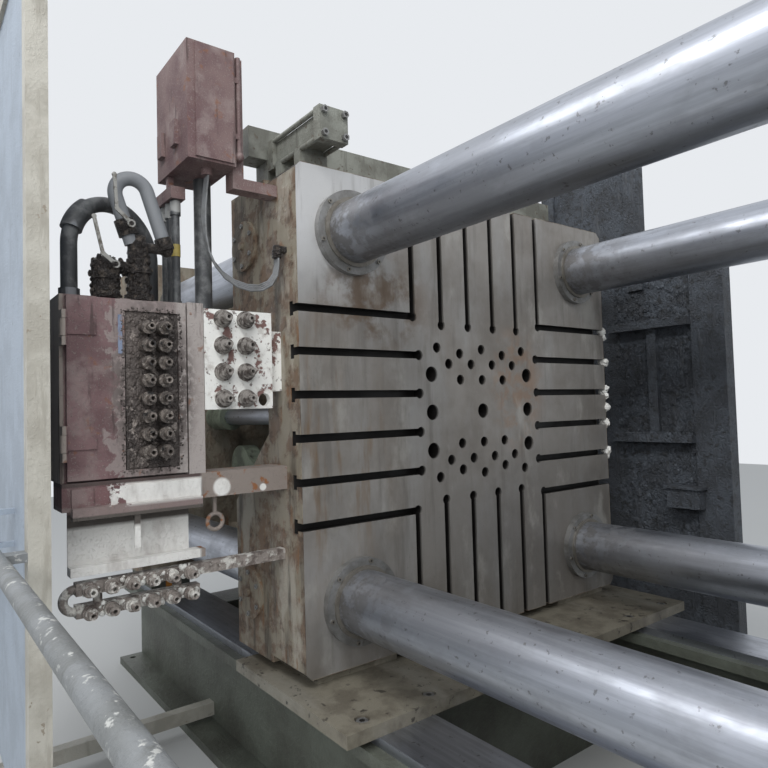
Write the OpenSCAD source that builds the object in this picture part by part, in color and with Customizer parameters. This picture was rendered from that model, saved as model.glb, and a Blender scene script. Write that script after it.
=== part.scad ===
// Closing unit of a toggle-type die casting machine, shown with its dies taken out.
// X runs along the tie bars from the moving platen to the fixed platen, Z is up, and the
// origin lies on the floor under the die face of the fixed platen. Millimetres.

/* [Machine] */
// Height of the machine's centre line above the floor
centre_h = 1500; // [1400:10:1700]
// Clear length between the two platens when the machine is open
daylight = 2000; // [1800:10:2200]
// Travel of the moving platen
stroke = 1000; // [900:10:1050]
// Gap between bodies that slide or turn on each other
run_gap = 0.3; // [0.1:0.1:1]

/* [Platens] */
// Width and height of the three platens
platen_w = 1770; // [1700:10:1850]
// Thickness of the fixed platen
fixed_t = 380; // [300:10:450]
// Thickness of the front plate of the moving platen
face_t = 230; // [180:10:260]
// Depth of the ribbed body of the moving platen
moving_rib_depth = 420; // [380:10:460]
// Depth of the tie-bar bosses of the moving platen
boss_depth = 455; // [440:5:460]
// Depth of the side walls of the moving platen
side_depth = 520; // [480:10:560]
// Radius of the tie-bar bosses
boss_r = 215; // [190:5:225]
// Thickness of the rear link platen
link_platen_t = 400; // [300:10:450]
// Distance from the rear pivots to the face of the link platen
link_reach = 690; // [640:10:760]
// Thickness of the outer walls of the moving platen
wall_t = 60; // [40:5:80]
// Chamfer along the platens' upright edges
platen_chamfer = 25; // [10:5:40]

/* [Tie bars] */
// Diameter of the four tie bars
bar_d = 223; // [200:1:240]
// Distance of the tie bars from the platens' edges
bar_inset = 227.5; // [220:0.5:235]
// Outside diameter of the tie-bar nuts
nut_d = 380; // [320:10:420]
// Length of the tie-bar nuts
nut_len = 210; // [160:10:260]
// Length of tie bar beyond each nut
bar_overrun = 70; // [30:10:120]
// Outside diameter of the collars on the moving platen
collar_d = 306; // [280:2:340]
// Thickness of those collars
collar_t = 26; // [16:2:40]
// Outside diameter of the bronze wiper ring inside a collar
wiper_d = 252; // [244:2:264]

/* [T-slots and ejector holes] */
// Pitch of the T-slots
slot_pitch = 150; // [140:1:160]
// Width of a T-slot's neck
slot_neck = 28; // [22:1:36]
// Depth of the neck
neck_depth = 32; // [24:1:40]
// Width of a T-slot's head
slot_head = 50; // [40:1:60]
// Height of the head
head_depth = 26; // [18:1:32]
// Distance from the centre to the round ends of the slots
slot_end = 349; // [330:1:370]
// Diameter of the round ends
keyhole_d = 40; // [32:1:50]
// Diameter of the large ejector holes
big_hole_d = 62; // [50:1:70]
// Diameter of the small ejector holes
small_hole_d = 42; // [30:1:50]
// Diameter of the shot-sleeve bore in the fixed platen
sleeve_d = 180; // [140:5:220]
// Diameter of the recess for the sleeve's flange
sleeve_recess_d = 300; // [260:5:360]
// Depth of that recess
sleeve_recess_t = 40; // [20:5:60]

/* [Toggle linkage] */
// Length of the rear links between pin centres
rear_link = 580; // [570:1:590]
// Length of the front links between pin centres
front_link = 930; // [920:1:940]
// How far the crosshead pins lie behind the rear pivots when the machine is open
crosshead_back = 540; // [530:1:550]
// Distance from the platens' edge to the rear pivots
pivot_inset = 125; // [120:1:130]
// How much nearer the middle the front pivots lie
pivot_rise = 60; // [55:1:65]
// Distance from the rear pivot to the drive pin of a rear link
drive_arm = 330; // [325:1:335]
// Angle between the rear link and its drive arm, in degrees
drive_angle = 20; // [18:1:22]
// Height of the crosshead pins above the centre line
crosshead_pin_h = 170; // [165:1:180]
// Distance from the front pivots to the ribs of the moving platen
lug_reach = 160; // [150:5:180]
// Radius of the links' eyes
eye_r = 115; // [100:1:120]
// Radius of the knee and pivot pins
pin_r = 60; // [50:1:65]
// Radius of the drive pins and crosshead pins
drive_pin_r = 36; // [30:1:40]
// Radius of the eyes of the drive links
drive_eye_r = 60; // [52:1:66]
// Half the width of the long links between their eyes
link_waist_r = 95; // [80:1:100]
// Half the width of the drive links between their eyes
drive_waist_r = 45; // [36:1:50]
// Diameter of the crosshead's guide rods
guide_d = 90; // [80:1:100]
// Distance of the guide rods from the middle
guide_y = 450; // [440:1:455]

/* [Base] */
// Thickness of the pads between the carrier plate and the moving platen
pad_h = 30; // [20:5:50]
// Width of the side beams
beam_w = 300; // [240:10:340]
// Distance of the side beams' centre lines from the middle
beam_y = 720; // [690:10:760]
// Thickness of the beams' flanges
flange_t = 40; // [25:5:50]
// Thickness of the beams' webs
web_t = 40; // [20:5:50]
// Thickness of the wear strips on the beams
way_t = 30; // [20:2:40]
// Thickness of the carrier plate under the moving platen
carrier_t = 40; // [30:2:50]
// How far the carrier plate reaches in front of the moving platen
carrier_front = 330; // [280:10:380]
// Half the width of the carrier plate
carrier_half_w = 945; // [900:5:980]

/* [Side equipment] */
// Width of the coupling cabinet's front
cabinet_w = 421; // [400:1:440]
// Height of the coupling cabinet
cabinet_h = 547; // [520:1:570]
// Depth of the coupling cabinet
cabinet_depth = 300; // [250:5:320]
// Thickness of the cabinet's sheet and door
sheet_t = 22; // [16:1:28]
// Distance of the side equipment's front behind the platen face
side_setback = 100; // [90:5:130]
// Number of coupling rows in the cabinet
bank_rows = 8; // [6:1:8]
// Spacing of the coupling rows in the cabinet
bank_pitch = 54; // [50:1:58]
// Spacing of the coupling rows on the white plate
plate_pitch = 88; // [80:1:90]

/* [Guards] */
// Width of a guard post
post_w = 54; // [40:2:70]
// Height of the guard frames above the floor
guard_h = 2900; // [2750:10:3000]
// Distance of the operator-side guard from the middle
guard_y = 1650; // [1640:5:1700]
// Distance of the rear-side guard from the middle
rear_guard_y = 1200; // [1150:5:1300]
// Diameter of the hand rail
rail_d = 44; // [34:1:60]

/* [Hidden] */
$fn = 64;

// Stations along X
moving_face_x = -daylight;
rib_back_x = moving_face_x - moving_rib_depth;
boss_back_x = moving_face_x - boss_depth;
front_pivot_x = rib_back_x - lug_reach;
rear_pivot_h = platen_w / 2 - pivot_inset;
front_pivot_h = rear_pivot_h - pivot_rise;
straight_base = sqrt(pow(rear_link + front_link, 2) - pow(pivot_rise, 2));
open_base = straight_base - stroke;
rear_pivot_x = front_pivot_x - open_base;
link_face_x = rear_pivot_x - link_reach;
link_back_x = link_face_x - link_platen_t;

// Direction of the upper rear link when the pivots lie a given length apart along X
function pivot_line(base) = sqrt(pow(base, 2) + pow(pivot_rise, 2));
function knee_angle(base) = atan2(-pivot_rise, base)
    - acos(min(1, (pow(rear_link, 2) + pow(pivot_line(base), 2) - pow(front_link, 2))
                  / (2 * rear_link * pivot_line(base))));

// Places of the pins of the upper half, in X and Z from the upper rear pivot
crosshead_drop = crosshead_pin_h - rear_pivot_h;
function knee_pin_at(base) = rear_link * [cos(knee_angle(base)), sin(knee_angle(base))];
function drive_pin_at(base) = drive_arm * [cos(knee_angle(base) - drive_angle), sin(knee_angle(base) - drive_angle)];
knee = knee_pin_at(open_base);
drive_pin = drive_pin_at(open_base);
crosshead_pin = [-crosshead_back, crosshead_drop];
drive_link = norm(drive_pin - crosshead_pin);
function crosshead_pin_at(base) =
    let (top = drive_pin_at(base))
    [top[0] - sqrt(pow(drive_link, 2) - pow(top[1] - crosshead_drop, 2)), crosshead_drop];
crosshead_x = rear_pivot_x + crosshead_pin[0];
crosshead_travel = crosshead_pin_at(straight_base)[0] - crosshead_pin[0];

// Heights
platen_bottom = centre_h - platen_w / 2;
carrier_top = platen_bottom - pad_h;
way_top = carrier_top - carrier_t;
beam_h = way_top - way_t;
bar_r = bar_d / 2;
half_w = platen_w / 2;
half_pitch = half_w - bar_inset;

// Layers across the machine: each is the near side and the far side of one plate
core_half = 60;
drive_layer = [70, 130];
inner_lug_layer = [140, 190];
rear_link_layer = [200, 300];
outer_lug_layer = [310, 370];
front_link_layer = [380, 460];
far_lug_layer = [470, 530];
layer_gap = 5;
lug_eye_r = 120;
front_eye_r = 140;

// Colours
grey_steel = "#9a9a94";
bright_steel = "#b9bec6";
green_grey = "#8f8f7d";
link_green = "#6f7a6c";
brown_paint = "#75605c";
white_paint = "#d8d8d2";
dark_guard = "#4a5058";
post_beige = "#b9b5a6";
panel_blue = "#9fb0c4";

// Copies what follows across the machine's middle plane
module both_sides() {
    children();
    mirror([0, 1, 0]) children();
}

// Copies what follows above and below the centre line
module up_and_down() {
    children();
    mirror([0, 0, 1]) children();
}

// Four copies, one for each tie bar
module each_bar() {
    for (side = [-1, 1], level = [-1, 1])
        translate([0, side * half_pitch, centre_h + level * half_pitch]) children();
}

// A box given by its low corner and its high corner
module block(low, high) {
    translate(low) cube(high - low);
}

// A round bar along X from one station to another
module x_bar(from_x, to_x, r) {
    translate([from_x, 0, 0]) rotate([0, 90, 0]) cylinder(r = r, h = to_x - from_x);
}

// A round bar along Y from one place to another
module y_bar(from_y, to_y, r) {
    translate([0, from_y, 0]) rotate([-90, 0, 0]) cylinder(r = r, h = to_y - from_y);
}

// A flat plate with its outline drawn in X and Z, filling one layer across the machine
module layer_plate(layer) {
    translate([0, layer[1], 0]) rotate([90, 0, 0]) linear_extrude(layer[1] - layer[0]) children();
}

// Outline of a bar with a round eye at each end, tapering between them
module link_outline(a, a_r, b, b_r) {
    run = b - a;
    heading = atan2(run[1], run[0]);
    lean = acos((a_r - b_r) / norm(run));
    translate(a) circle(r = a_r);
    translate(b) circle(r = b_r);
    polygon([a + a_r * [cos(heading + lean), sin(heading + lean)],
             b + b_r * [cos(heading + lean), sin(heading + lean)],
             b + b_r * [cos(heading - lean), sin(heading - lean)],
             a + a_r * [cos(heading - lean), sin(heading - lean)]]);
}

// Upper half of the machine as drawn, or its mirror image below the centre line
module at_level(level) {
    translate([0, 0, centre_h])
        if (level > 0) children();
        else mirror([0, 0, 1]) children();
}

// T-slots

slot_rows = 3;
slot_depth = neck_depth + head_depth;
cut_margin = 1;

// One T-slot cut, from the round end outward along +Y, with the die face at x = 0 and the metal at x < 0
module t_slot(from_y) {
    block([-neck_depth, from_y, -slot_neck / 2], [cut_margin, half_w + cut_margin, slot_neck / 2]);
    block([-slot_depth, from_y, -slot_head / 2], [-neck_depth, half_w + cut_margin, slot_head / 2]);
}

// All the T-slots of one platen
module t_slots() {
    corner = (slot_rows - 0.5) * slot_pitch;
    for (turn = [0:90:270]) rotate([turn, 0, 0]) {
        for (row = [0:slot_rows - 2], up = [-1, 1]) translate([0, 0, up * (row + 0.5) * slot_pitch]) {
            t_slot(slot_end);
            translate([0, slot_end, 0]) x_bar(-slot_depth, cut_margin, keyhole_d / 2);
        }
        for (up = [-1, 1]) translate([0, 0, up * corner]) t_slot(corner);
        translate([0, corner, corner]) x_bar(-slot_depth, cut_margin, keyhole_d / 2);
    }
}

// Outline of a platen, seen along the tie bars
module platen_outline() {
    c = platen_chamfer;
    h = half_w;
    polygon([[-h + c, -h], [h - c, -h], [h, -h + c], [h, h - c], [h - c, h], [-h + c, h], [-h, h - c], [-h, -h + c]]);
}

// A slab of platen between two stations
module platen_slab(from_x, to_x) {
    translate([from_x, 0, centre_h]) rotate([90, 0, 90]) linear_extrude(to_x - from_x) platen_outline();
}

module fixed_platen() {
    color(grey_steel) difference() {
        platen_slab(0, fixed_t);
        each_bar() x_bar(-cut_margin, fixed_t + cut_margin, bar_r + run_gap);
        translate([0, 0, centre_h]) {
            mirror([1, 0, 0]) t_slots();
            x_bar(-cut_margin, fixed_t + cut_margin, sleeve_d / 2);
            x_bar(fixed_t - sleeve_recess_t, fixed_t + cut_margin, sleeve_recess_d / 2);
        }
    }
}

// Ejector holes as [y, z] for one quarter of the platen
big_holes = [[285, 0], [285, 151]];
small_holes = [[0, 258], [253, 258], [127, 237], [63, 194], [190, 194], [0, 130], [127, 130]];

module ejector_holes(depth) {
    x_bar(-depth, cut_margin, big_hole_d / 2);
    for (side = [-1, 1], up = [-1, 1]) {
        for (hole = big_holes) translate([0, side * hole[0], up * hole[1]])
            x_bar(-depth, cut_margin, big_hole_d / 2);
        for (hole = small_holes) translate([0, side * hole[0], up * hole[1]])
            x_bar(-depth, cut_margin, small_hole_d / 2);
    }
}

// Side wall of the moving platen: full depth at the bosses, cut back in a V between them
side_notch_low = 60;
side_notch_high = 330;
module side_wall() {
    layer_plate([half_w - wall_t, half_w]) for (level = [-1, 1])
        polygon([[-face_t, level * side_notch_low], [-face_t, level * half_w],
                 [-side_depth, level * half_w], [-side_depth, level * side_notch_high]]);
}

// Round covers on the platen's sides, level with the tie bars
cover_r = 97;
cover_t = 14;
cover_bolt_r = 15;
cover_bolt_h = 12;
cover_x = moving_face_x - 395;
cover_rise = 667;

rib_floor = 330;
rib_t = 60;
centre_rib_y = 200;
module moving_platen() {
    color(grey_steel) difference() {
        platen_slab(moving_face_x - face_t, moving_face_x);
        each_bar() x_bar(moving_face_x - face_t - cut_margin, moving_face_x + cut_margin, bar_r + run_gap);
        translate([moving_face_x, 0, centre_h]) {
            t_slots();
            ejector_holes(face_t + cut_margin);
        }
    }
}

// Walls, ribs and tie-bar bosses behind the face of the moving platen
module platen_ribs() {
    back = moving_rib_depth;
    color(green_grey) difference() {
        union() {
            translate([moving_face_x, 0, centre_h]) {
                both_sides() {
                    side_wall();
                    block([-back, centre_rib_y, -rib_floor + rib_t], [-face_t, centre_rib_y + rib_t, rib_floor - rib_t]);
                    up_and_down() block([-back, far_lug_layer[1], rib_floor - rib_t],
                                        [-face_t, half_w - wall_t, rib_floor]);
                }
                up_and_down() {
                    block([-back, -half_w + wall_t, half_w - wall_t], [-face_t, half_w - wall_t, half_w]);
                    block([-back, -far_lug_layer[1], rib_floor - rib_t], [-face_t, far_lug_layer[1], rib_floor]);
                }
            }
            each_bar() x_bar(boss_back_x, moving_face_x - face_t, boss_r);
            both_sides() translate([cover_x, 0, centre_h]) up_and_down() translate([0, 0, cover_rise]) {
                y_bar(half_w - cut_margin, half_w + cover_t, cover_r);
                y_bar(half_w, half_w + cover_t + cover_bolt_h, cover_bolt_r);
            }
        }
        each_bar() x_bar(boss_back_x - cut_margin, moving_face_x - face_t + cut_margin, bar_r + run_gap);
        translate([moving_face_x, 0, centre_h]) both_sides() up_and_down()
            block([-boss_depth - cut_margin, outer_lug_layer[1], rib_floor],
                  [-face_t + cut_margin, far_lug_layer[1], half_w - wall_t]);
    }
}

// Plates behind the moving platen that carry the pins of the front links
module front_lugs() {
    top = half_w - wall_t;
    color(green_grey) for (level = [-1, 1]) at_level(level) both_sides()
        for (layer = [outer_lug_layer, far_lug_layer]) difference() {
            layer_plate(layer) {
                translate([front_pivot_x, front_pivot_h]) circle(r = front_eye_r);
                translate([front_pivot_x, front_pivot_h - front_eye_r])
                    square([lug_reach + cut_margin, top - front_pivot_h + front_eye_r]);
                translate([rib_back_x, rib_floor]) square([moving_rib_depth - face_t, top - rib_floor]);
            }
            translate([front_pivot_x, 0, front_pivot_h])
                y_bar(layer[0] - cut_margin, layer[1] + cut_margin, pin_r + run_gap);
        }
}

// Cast pockets in the back of the link platen, between its bosses
pocket_depth = 180;
pocket_half = 270;
pocket_inner = 330;
pocket_rim = 70;

module link_platen() {
    color(green_grey) difference() {
        platen_slab(link_back_x, link_face_x);
        each_bar() x_bar(link_back_x - cut_margin, link_face_x + cut_margin, bar_r + run_gap);
        translate([link_back_x, 0, centre_h]) for (turn = [0:90:270]) rotate([turn, 0, 0])
            block([-cut_margin, -pocket_half, pocket_inner], [pocket_depth, pocket_half, half_w - pocket_rim]);
        translate([0, 0, centre_h]) x_bar(link_back_x - cut_margin, link_face_x + cut_margin, rod_r + run_gap);
    }
}

// Plates on the link platen that carry the rear pins
module rear_lugs() {
    color(green_grey) for (level = [-1, 1]) at_level(level) both_sides()
        for (layer = [inner_lug_layer, outer_lug_layer]) difference() {
            layer_plate(layer) {
                translate([rear_pivot_x, rear_pivot_h]) circle(r = lug_eye_r);
                translate([link_face_x, rear_pivot_h - lug_eye_r]) square([link_reach, 2 * lug_eye_r]);
            }
            translate([rear_pivot_x, 0, rear_pivot_h])
                y_bar(layer[0] - cut_margin, layer[1] + cut_margin, pin_r + run_gap);
        }
}

// Tie bars and what is on them

bar_front_x = fixed_t + nut_len + bar_overrun;
bar_rear_x = link_back_x - nut_len - bar_overrun;
bar_chamfer = 12;

module tie_bar(side, level) {
    color(bright_steel) translate([bar_rear_x, side * half_pitch, centre_h + level * half_pitch])
        rotate([0, 90, 0]) rotate_extrude() polygon([
            [0, 0], [bar_r - bar_chamfer, 0], [bar_r, bar_chamfer],
            [bar_r, bar_front_x - bar_rear_x - bar_chamfer],
            [bar_r - bar_chamfer, bar_front_x - bar_rear_x], [0, bar_front_x - bar_rear_x]]);
}

module ring(from_x, to_x, outer_r, inner_r) {
    difference() {
        x_bar(from_x, to_x, outer_r);
        x_bar(from_x - cut_margin, to_x + cut_margin, inner_r);
    }
}

module bar_nuts() {
    color(grey_steel) each_bar() {
        ring(fixed_t, fixed_t + nut_len, nut_d / 2, bar_r + run_gap);
        ring(link_back_x - nut_len, link_back_x, nut_d / 2, bar_r + run_gap);
    }
}

wiper_t = 34;
module bar_collars() {
    color(grey_steel) each_bar() {
        ring(moving_face_x, moving_face_x + collar_t, collar_d / 2, bar_r + run_gap);
        ring(moving_face_x + collar_t - cut_margin, moving_face_x + wiper_t, wiper_d / 2, bar_r + run_gap);
    }
}

// Base

beam_overhang = 120;
beam_front_x = fixed_t + beam_overhang;
beam_rear_x = link_back_x - beam_overhang;
anchor_r = 17;
anchor_inset = 60;
anchor_y = beam_y + beam_w / 2 - anchor_inset;

module base_beams() {
    color(green_grey) both_sides() difference() {
        union() {
            for (z = [0, beam_h - flange_t])
                block([beam_rear_x, beam_y - beam_w / 2, z], [beam_front_x, beam_y + beam_w / 2, z + flange_t]);
            block([beam_rear_x, beam_y - web_t / 2, flange_t - cut_margin],
                  [beam_front_x, beam_y + web_t / 2, beam_h - flange_t + cut_margin]);
        }
        for (x = [beam_rear_x + anchor_inset, beam_front_x - anchor_inset])
            translate([x, anchor_y, -cut_margin]) cylinder(r = anchor_r, h = flange_t + 2 * cut_margin);
    }
}

cross_w = 240;
cross_drop = 85;
cross_h = beam_h - cross_drop;
module base_cross_members() {
    stations = [0, moving_face_x / 2, moving_face_x, (moving_face_x + link_face_x) / 2, link_face_x];
    color(green_grey) for (x = stations)
        block([x - cross_w / 2, -beam_y + beam_w / 2, 0], [x + cross_w / 2, beam_y - beam_w / 2, cross_h]);
}

way_w = 220;
way_overrun = 40;
module slide_ways() {
    color(bright_steel) both_sides()
        block([beam_rear_x, beam_y - way_w / 2, beam_h],
              [moving_face_x + stroke + carrier_front + way_overrun, beam_y + way_w / 2, way_top]);
}

foot_w = 240;
foot_inset = 20;
module platen_feet() {
    color(green_grey) both_sides() {
        block([foot_inset, beam_y - foot_w / 2, beam_h],
              [fixed_t - foot_inset, beam_y + foot_w / 2, platen_bottom]);
        block([link_back_x + foot_inset, beam_y - way_w / 2, way_top],
              [link_face_x - foot_inset, beam_y + way_w / 2, platen_bottom]);
    }
}

pad_setback = 25;
pad_inner = 480;
pad_outer = half_w - 60;
plate_bolt_x = moving_face_x + 272;
plate_bolt_y = [583, 851];
counterbore_r = 24;
counterbore_depth = 16;
module carrier_plate() {
    color("#8f8a76") difference() {
        carrier_solid();
        both_sides() for (y = plate_bolt_y)
            translate([plate_bolt_x, y, carrier_top - counterbore_depth])
                cylinder(r = counterbore_r, h = counterbore_depth + cut_margin);
    }
}

module carrier_solid() {
    union() {
        block([rib_back_x, -carrier_half_w, way_top], [moving_face_x + carrier_front, carrier_half_w, carrier_top]);
        both_sides() block([rib_back_x, pad_inner, carrier_top - cut_margin],
                           [moving_face_x - pad_setback, pad_outer, platen_bottom]);
    }
}

// Toggle linkage

rod_r = 70;
crosshead_half = 90;
arm_half_h = 50;
arm_half_x = 60;
guide_boss_r = 75;
guide_boss_half = 100;
guide_overrun = 60;
guide_rod_end_x = crosshead_x + crosshead_travel + guide_boss_half + guide_overrun;
rod_tail = link_platen_t + crosshead_travel + 60;

module crosshead() {
    color(grey_steel) difference() {
        translate([crosshead_x, 0, centre_h]) {
            block([-crosshead_half, -core_half, -crosshead_pin_h - drive_eye_r],
                  [crosshead_half, core_half, crosshead_pin_h + drive_eye_r]);
            block([-arm_half_x, -guide_y, -arm_half_h], [arm_half_x, guide_y, arm_half_h]);
            both_sides() translate([0, guide_y, 0]) x_bar(-guide_boss_half, guide_boss_half, guide_boss_r);
        }
        translate([crosshead_x, 0, centre_h]) {
            both_sides() translate([0, guide_y, 0])
                x_bar(-guide_boss_half - cut_margin, guide_boss_half + cut_margin, guide_d / 2 + run_gap);
            up_and_down() translate([0, 0, crosshead_pin_h])
                y_bar(-core_half - cut_margin, core_half + cut_margin, drive_pin_r + run_gap);
        }
    }
    color(bright_steel) translate([0, 0, centre_h])
        x_bar(link_face_x - rod_tail, crosshead_x - crosshead_half + cut_margin, rod_r);
}

module guide_rods() {
    color(bright_steel) translate([0, 0, centre_h]) both_sides() translate([0, guide_y, 0])
        x_bar(link_face_x, guide_rod_end_x, guide_d / 2);
}

cylinder_r = 170;
cylinder_len = 900;
cylinder_flange_r = 230;
cylinder_flange_t = 60;
end_cap_r = 205;
end_cap_t = 70;
module closing_cylinder() {
    color(link_green) translate([0, 0, centre_h]) {
        difference() {
            x_bar(link_back_x - cylinder_len, link_back_x, cylinder_r);
            x_bar(link_back_x - cylinder_len + cylinder_flange_t, link_back_x + cut_margin, rod_r + run_gap);
        }
        ring(link_back_x - cylinder_flange_t, link_back_x, cylinder_flange_r, cylinder_r - cut_margin);
        x_bar(link_back_x - cylinder_len - end_cap_t, link_back_x - cylinder_len, end_cap_r);
    }
}

// Outline of a link that is narrower between its two round eyes
module waisted_outline(a, b, end_r, waist) {
    link_outline(a, waist, b, waist);
    for (end = [a, b]) translate(end) circle(r = end_r);
}

module drive_link(level) {
    color(link_green) at_level(level) translate([rear_pivot_x, 0, rear_pivot_h]) {
        both_sides() layer_plate(drive_layer) waisted_outline(crosshead_pin, drive_pin, drive_eye_r, drive_waist_r);
        translate([crosshead_pin[0], 0, crosshead_pin[1]]) y_bar(-drive_layer[1], drive_layer[1], drive_pin_r);
    }
}

// A horn stands off the rear link and carries the drive pin
horn_root = [0.15, 0.85];
horn_width = 0.55;
module rear_link(level) {
    along = knee / rear_link;
    across = [along[1], -along[0]];
    shoulder = horn_width * drive_eye_r;
    color(link_green) at_level(level) translate([rear_pivot_x, 0, rear_pivot_h]) {
        both_sides() {
            layer_plate(rear_link_layer) {
                waisted_outline([0, 0], knee, eye_r, link_waist_r);
                translate(drive_pin) circle(r = drive_eye_r);
                polygon([horn_root[0] * knee, drive_pin + shoulder * (across - along),
                         drive_pin + shoulder * (across + along), horn_root[1] * knee]);
            }
            y_bar(inner_lug_layer[0], outer_lug_layer[1], pin_r);
            translate([drive_pin[0], 0, drive_pin[1]])
                y_bar(drive_layer[1] + layer_gap, rear_link_layer[0] + cut_margin, drive_pin_r);
        }
        translate([knee[0], 0, knee[1]])
            y_bar(-front_link_layer[0] + layer_gap, front_link_layer[0] - layer_gap, pin_r);
    }
}

tube_r = 60;
tube_at = 400;
module front_link_pair(level) {
    knee_here = [rear_pivot_x + knee[0], rear_pivot_h + knee[1]];
    pivot_here = [front_pivot_x, front_pivot_h];
    tube_centre = pivot_here + tube_at * (knee_here - pivot_here) / front_link;
    color(link_green) at_level(level) {
        both_sides() {
            layer_plate(front_link_layer) waisted_outline(pivot_here, knee_here, eye_r, link_waist_r);
            translate([pivot_here[0], 0, pivot_here[1]]) y_bar(outer_lug_layer[0], far_lug_layer[1], pin_r);
        }
        translate([tube_centre[0], 0, tube_centre[1]])
            y_bar(-front_link_layer[1] + cut_margin, front_link_layer[1] - cut_margin, tube_r);
    }
}

module ejector_unit() {
    plate_t = 60;
    half_y = 190;
    half_z = 300;
    reach = 250;
    post_half = 30;
    ram_r = 80;
    color(link_green) translate([rib_back_x, 0, centre_h]) {
        block([-reach, -half_y, -half_z], [-reach + plate_t, half_y, half_z]);
        up_and_down() both_sides() translate([0, centre_rib_y + rib_t / 2 - 2 * post_half, half_z - post_half])
            block([-reach, -post_half, -post_half], [0, 2 * post_half, post_half]);
        block([-plate_t, -centre_rib_y - rib_t, -2 * ram_r], [0, centre_rib_y + rib_t, 2 * ram_r]);
        x_bar(-reach, -plate_t + cut_margin, ram_r);
    }
}

// Side equipment, carried by the moving platen

side_x = moving_face_x - side_setback;
cabinet_right = -1179;
cabinet_left = cabinet_right - cabinet_w;
cabinet_bottom = centre_h - 170;
cabinet_top = cabinet_bottom + cabinet_h;
cabinet_back = side_x - cabinet_depth;
platen_side = -half_w;

// The arm under the cabinet, with the hood in front of it and the splash panel under it
arm_h = 80;
arm_depth = 120;
arm_bottom = cabinet_bottom - arm_h;
ring_y = -1134;
ring_x = side_x - 40;
ring_major_r = 26;
ring_bar_r = 7;
ring_stem = 60;
hood_left = cabinet_left + 23;
hood_right = cabinet_right - 21;
hood_face_t = 12;
hood_face_h = 54;
hood_face_drop = 16;
lip_h = 34;
lip_reach = 26;
splash_setback = 50;
splash_t = 6;
splash_h = 162;
splash_flange_h = 26;
splash_flange_reach = 40;
hook_y = -1399;
hook_w = 16;
hook_h = 98;
hook_t = 8;

module support_arm() {
    face_bottom = cabinet_bottom - hood_face_drop - hood_face_h;
    splash_x = side_x - splash_setback;
    splash_bottom = arm_bottom - splash_h;
    color(brown_paint) {
        block([side_x - arm_depth, cabinet_left, arm_bottom], [side_x, platen_side, cabinet_bottom]);
        block([side_x, hood_left, face_bottom], [side_x + hood_face_t, hood_right, face_bottom + hood_face_h]);
        block([side_x, hood_left, face_bottom - lip_h], [side_x + lip_reach, hood_right, face_bottom]);
        block([splash_x - splash_t, hood_left, splash_bottom], [splash_x, hood_right - splash_flange_reach / 2, arm_bottom]);
        block([splash_x - splash_t, hood_left, splash_bottom - splash_flange_h],
              [splash_x + splash_flange_reach, hood_right + splash_flange_reach / 2, splash_bottom]);
        block([side_x + lip_reach / 2, hook_y - hook_w / 2, face_bottom - lip_h - hook_h],
              [side_x + lip_reach / 2 + hook_t, hook_y + hook_w / 2, face_bottom - lip_h]);
    }
    color("#3b3733") translate([ring_x, ring_y, arm_bottom]) {
        translate([0, 0, -ring_stem]) cylinder(r = ring_bar_r, h = ring_stem);
        translate([0, 0, -ring_stem - ring_major_r]) rotate([90, 0, 90])
            rotate_extrude() translate([ring_major_r, 0]) circle(r = ring_bar_r);
    }
}

hinge_y = cabinet_left + 6;
hinge_x = side_x + 6;
hinge_r = 10;
hinge_pin_r = 5;
hinge_len = 50;
hinge_z = [cabinet_bottom + 113, cabinet_top - 101];
hinge_lug_h = 25;
door_left = cabinet_left + 15;
door_right = cabinet_right - 58;
door_gap = 5;
door_clearance = 6;
bank_columns = [cabinet_right - 186, cabinet_right - 136];
bank_margin = 26;
cut_left = bank_columns[0] - 60;
cut_right = bank_columns[1] + 53;
bank_mid_z = cabinet_bottom + 267;
cut_half_h = bank_rows * bank_pitch / 2 + 24;

module cabinet() {
    color(brown_paint) {
        difference() {
            block([cabinet_back, cabinet_left, cabinet_bottom], [side_x - sheet_t, cabinet_right, cabinet_top]);
            block([cabinet_back + sheet_t, cabinet_left + sheet_t, cabinet_bottom + sheet_t],
                  [side_x + cut_margin, cabinet_right - sheet_t, cabinet_top - sheet_t]);
        }
        block([side_x - sheet_t - cut_margin, door_right + door_gap, cabinet_bottom],
              [side_x, cabinet_right, cabinet_top]);
        for (z = hinge_z) {
            for (end = [-1, 1]) translate([0, 0, z + end * (hinge_len / 2 + 1 + hinge_lug_h / 2)])
                block([side_x - sheet_t - cut_margin, cabinet_left, -hinge_lug_h / 2],
                      [hinge_x + hinge_r, hinge_y + hinge_pin_r + 1, hinge_lug_h / 2]);
            translate([hinge_x, hinge_y, z - hinge_len / 2 - 1 - hinge_lug_h])
                cylinder(r = hinge_pin_r, h = hinge_len + 2 + 2 * hinge_lug_h);
        }
    }
}

strap_len = 88;
strap_t = 5;
strap_h = 36;
module cabinet_door() {
    color(brown_paint) difference() {
        union() {
            difference() {
                block([side_x - sheet_t + run_gap, door_left, cabinet_bottom + door_clearance],
                      [side_x, door_right, cabinet_top - door_clearance]);
                block([side_x - sheet_t - cut_margin, cut_left, bank_mid_z - cut_half_h],
                      [side_x + cut_margin, cut_right, bank_mid_z + cut_half_h]);
            }
            for (z = hinge_z) translate([0, 0, z]) {
                block([side_x, hinge_y, -strap_h / 2], [side_x + strap_t, hinge_y + strap_len, strap_h / 2]);
                translate([hinge_x, hinge_y, -hinge_len / 2]) cylinder(r = hinge_r, h = hinge_len);
            }
        }
        for (z = hinge_z) translate([hinge_x, hinge_y, z - hinge_len / 2 - cut_margin])
            cylinder(r = hinge_pin_r + run_gap, h = hinge_len + 2 * cut_margin);
    }
}

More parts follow.
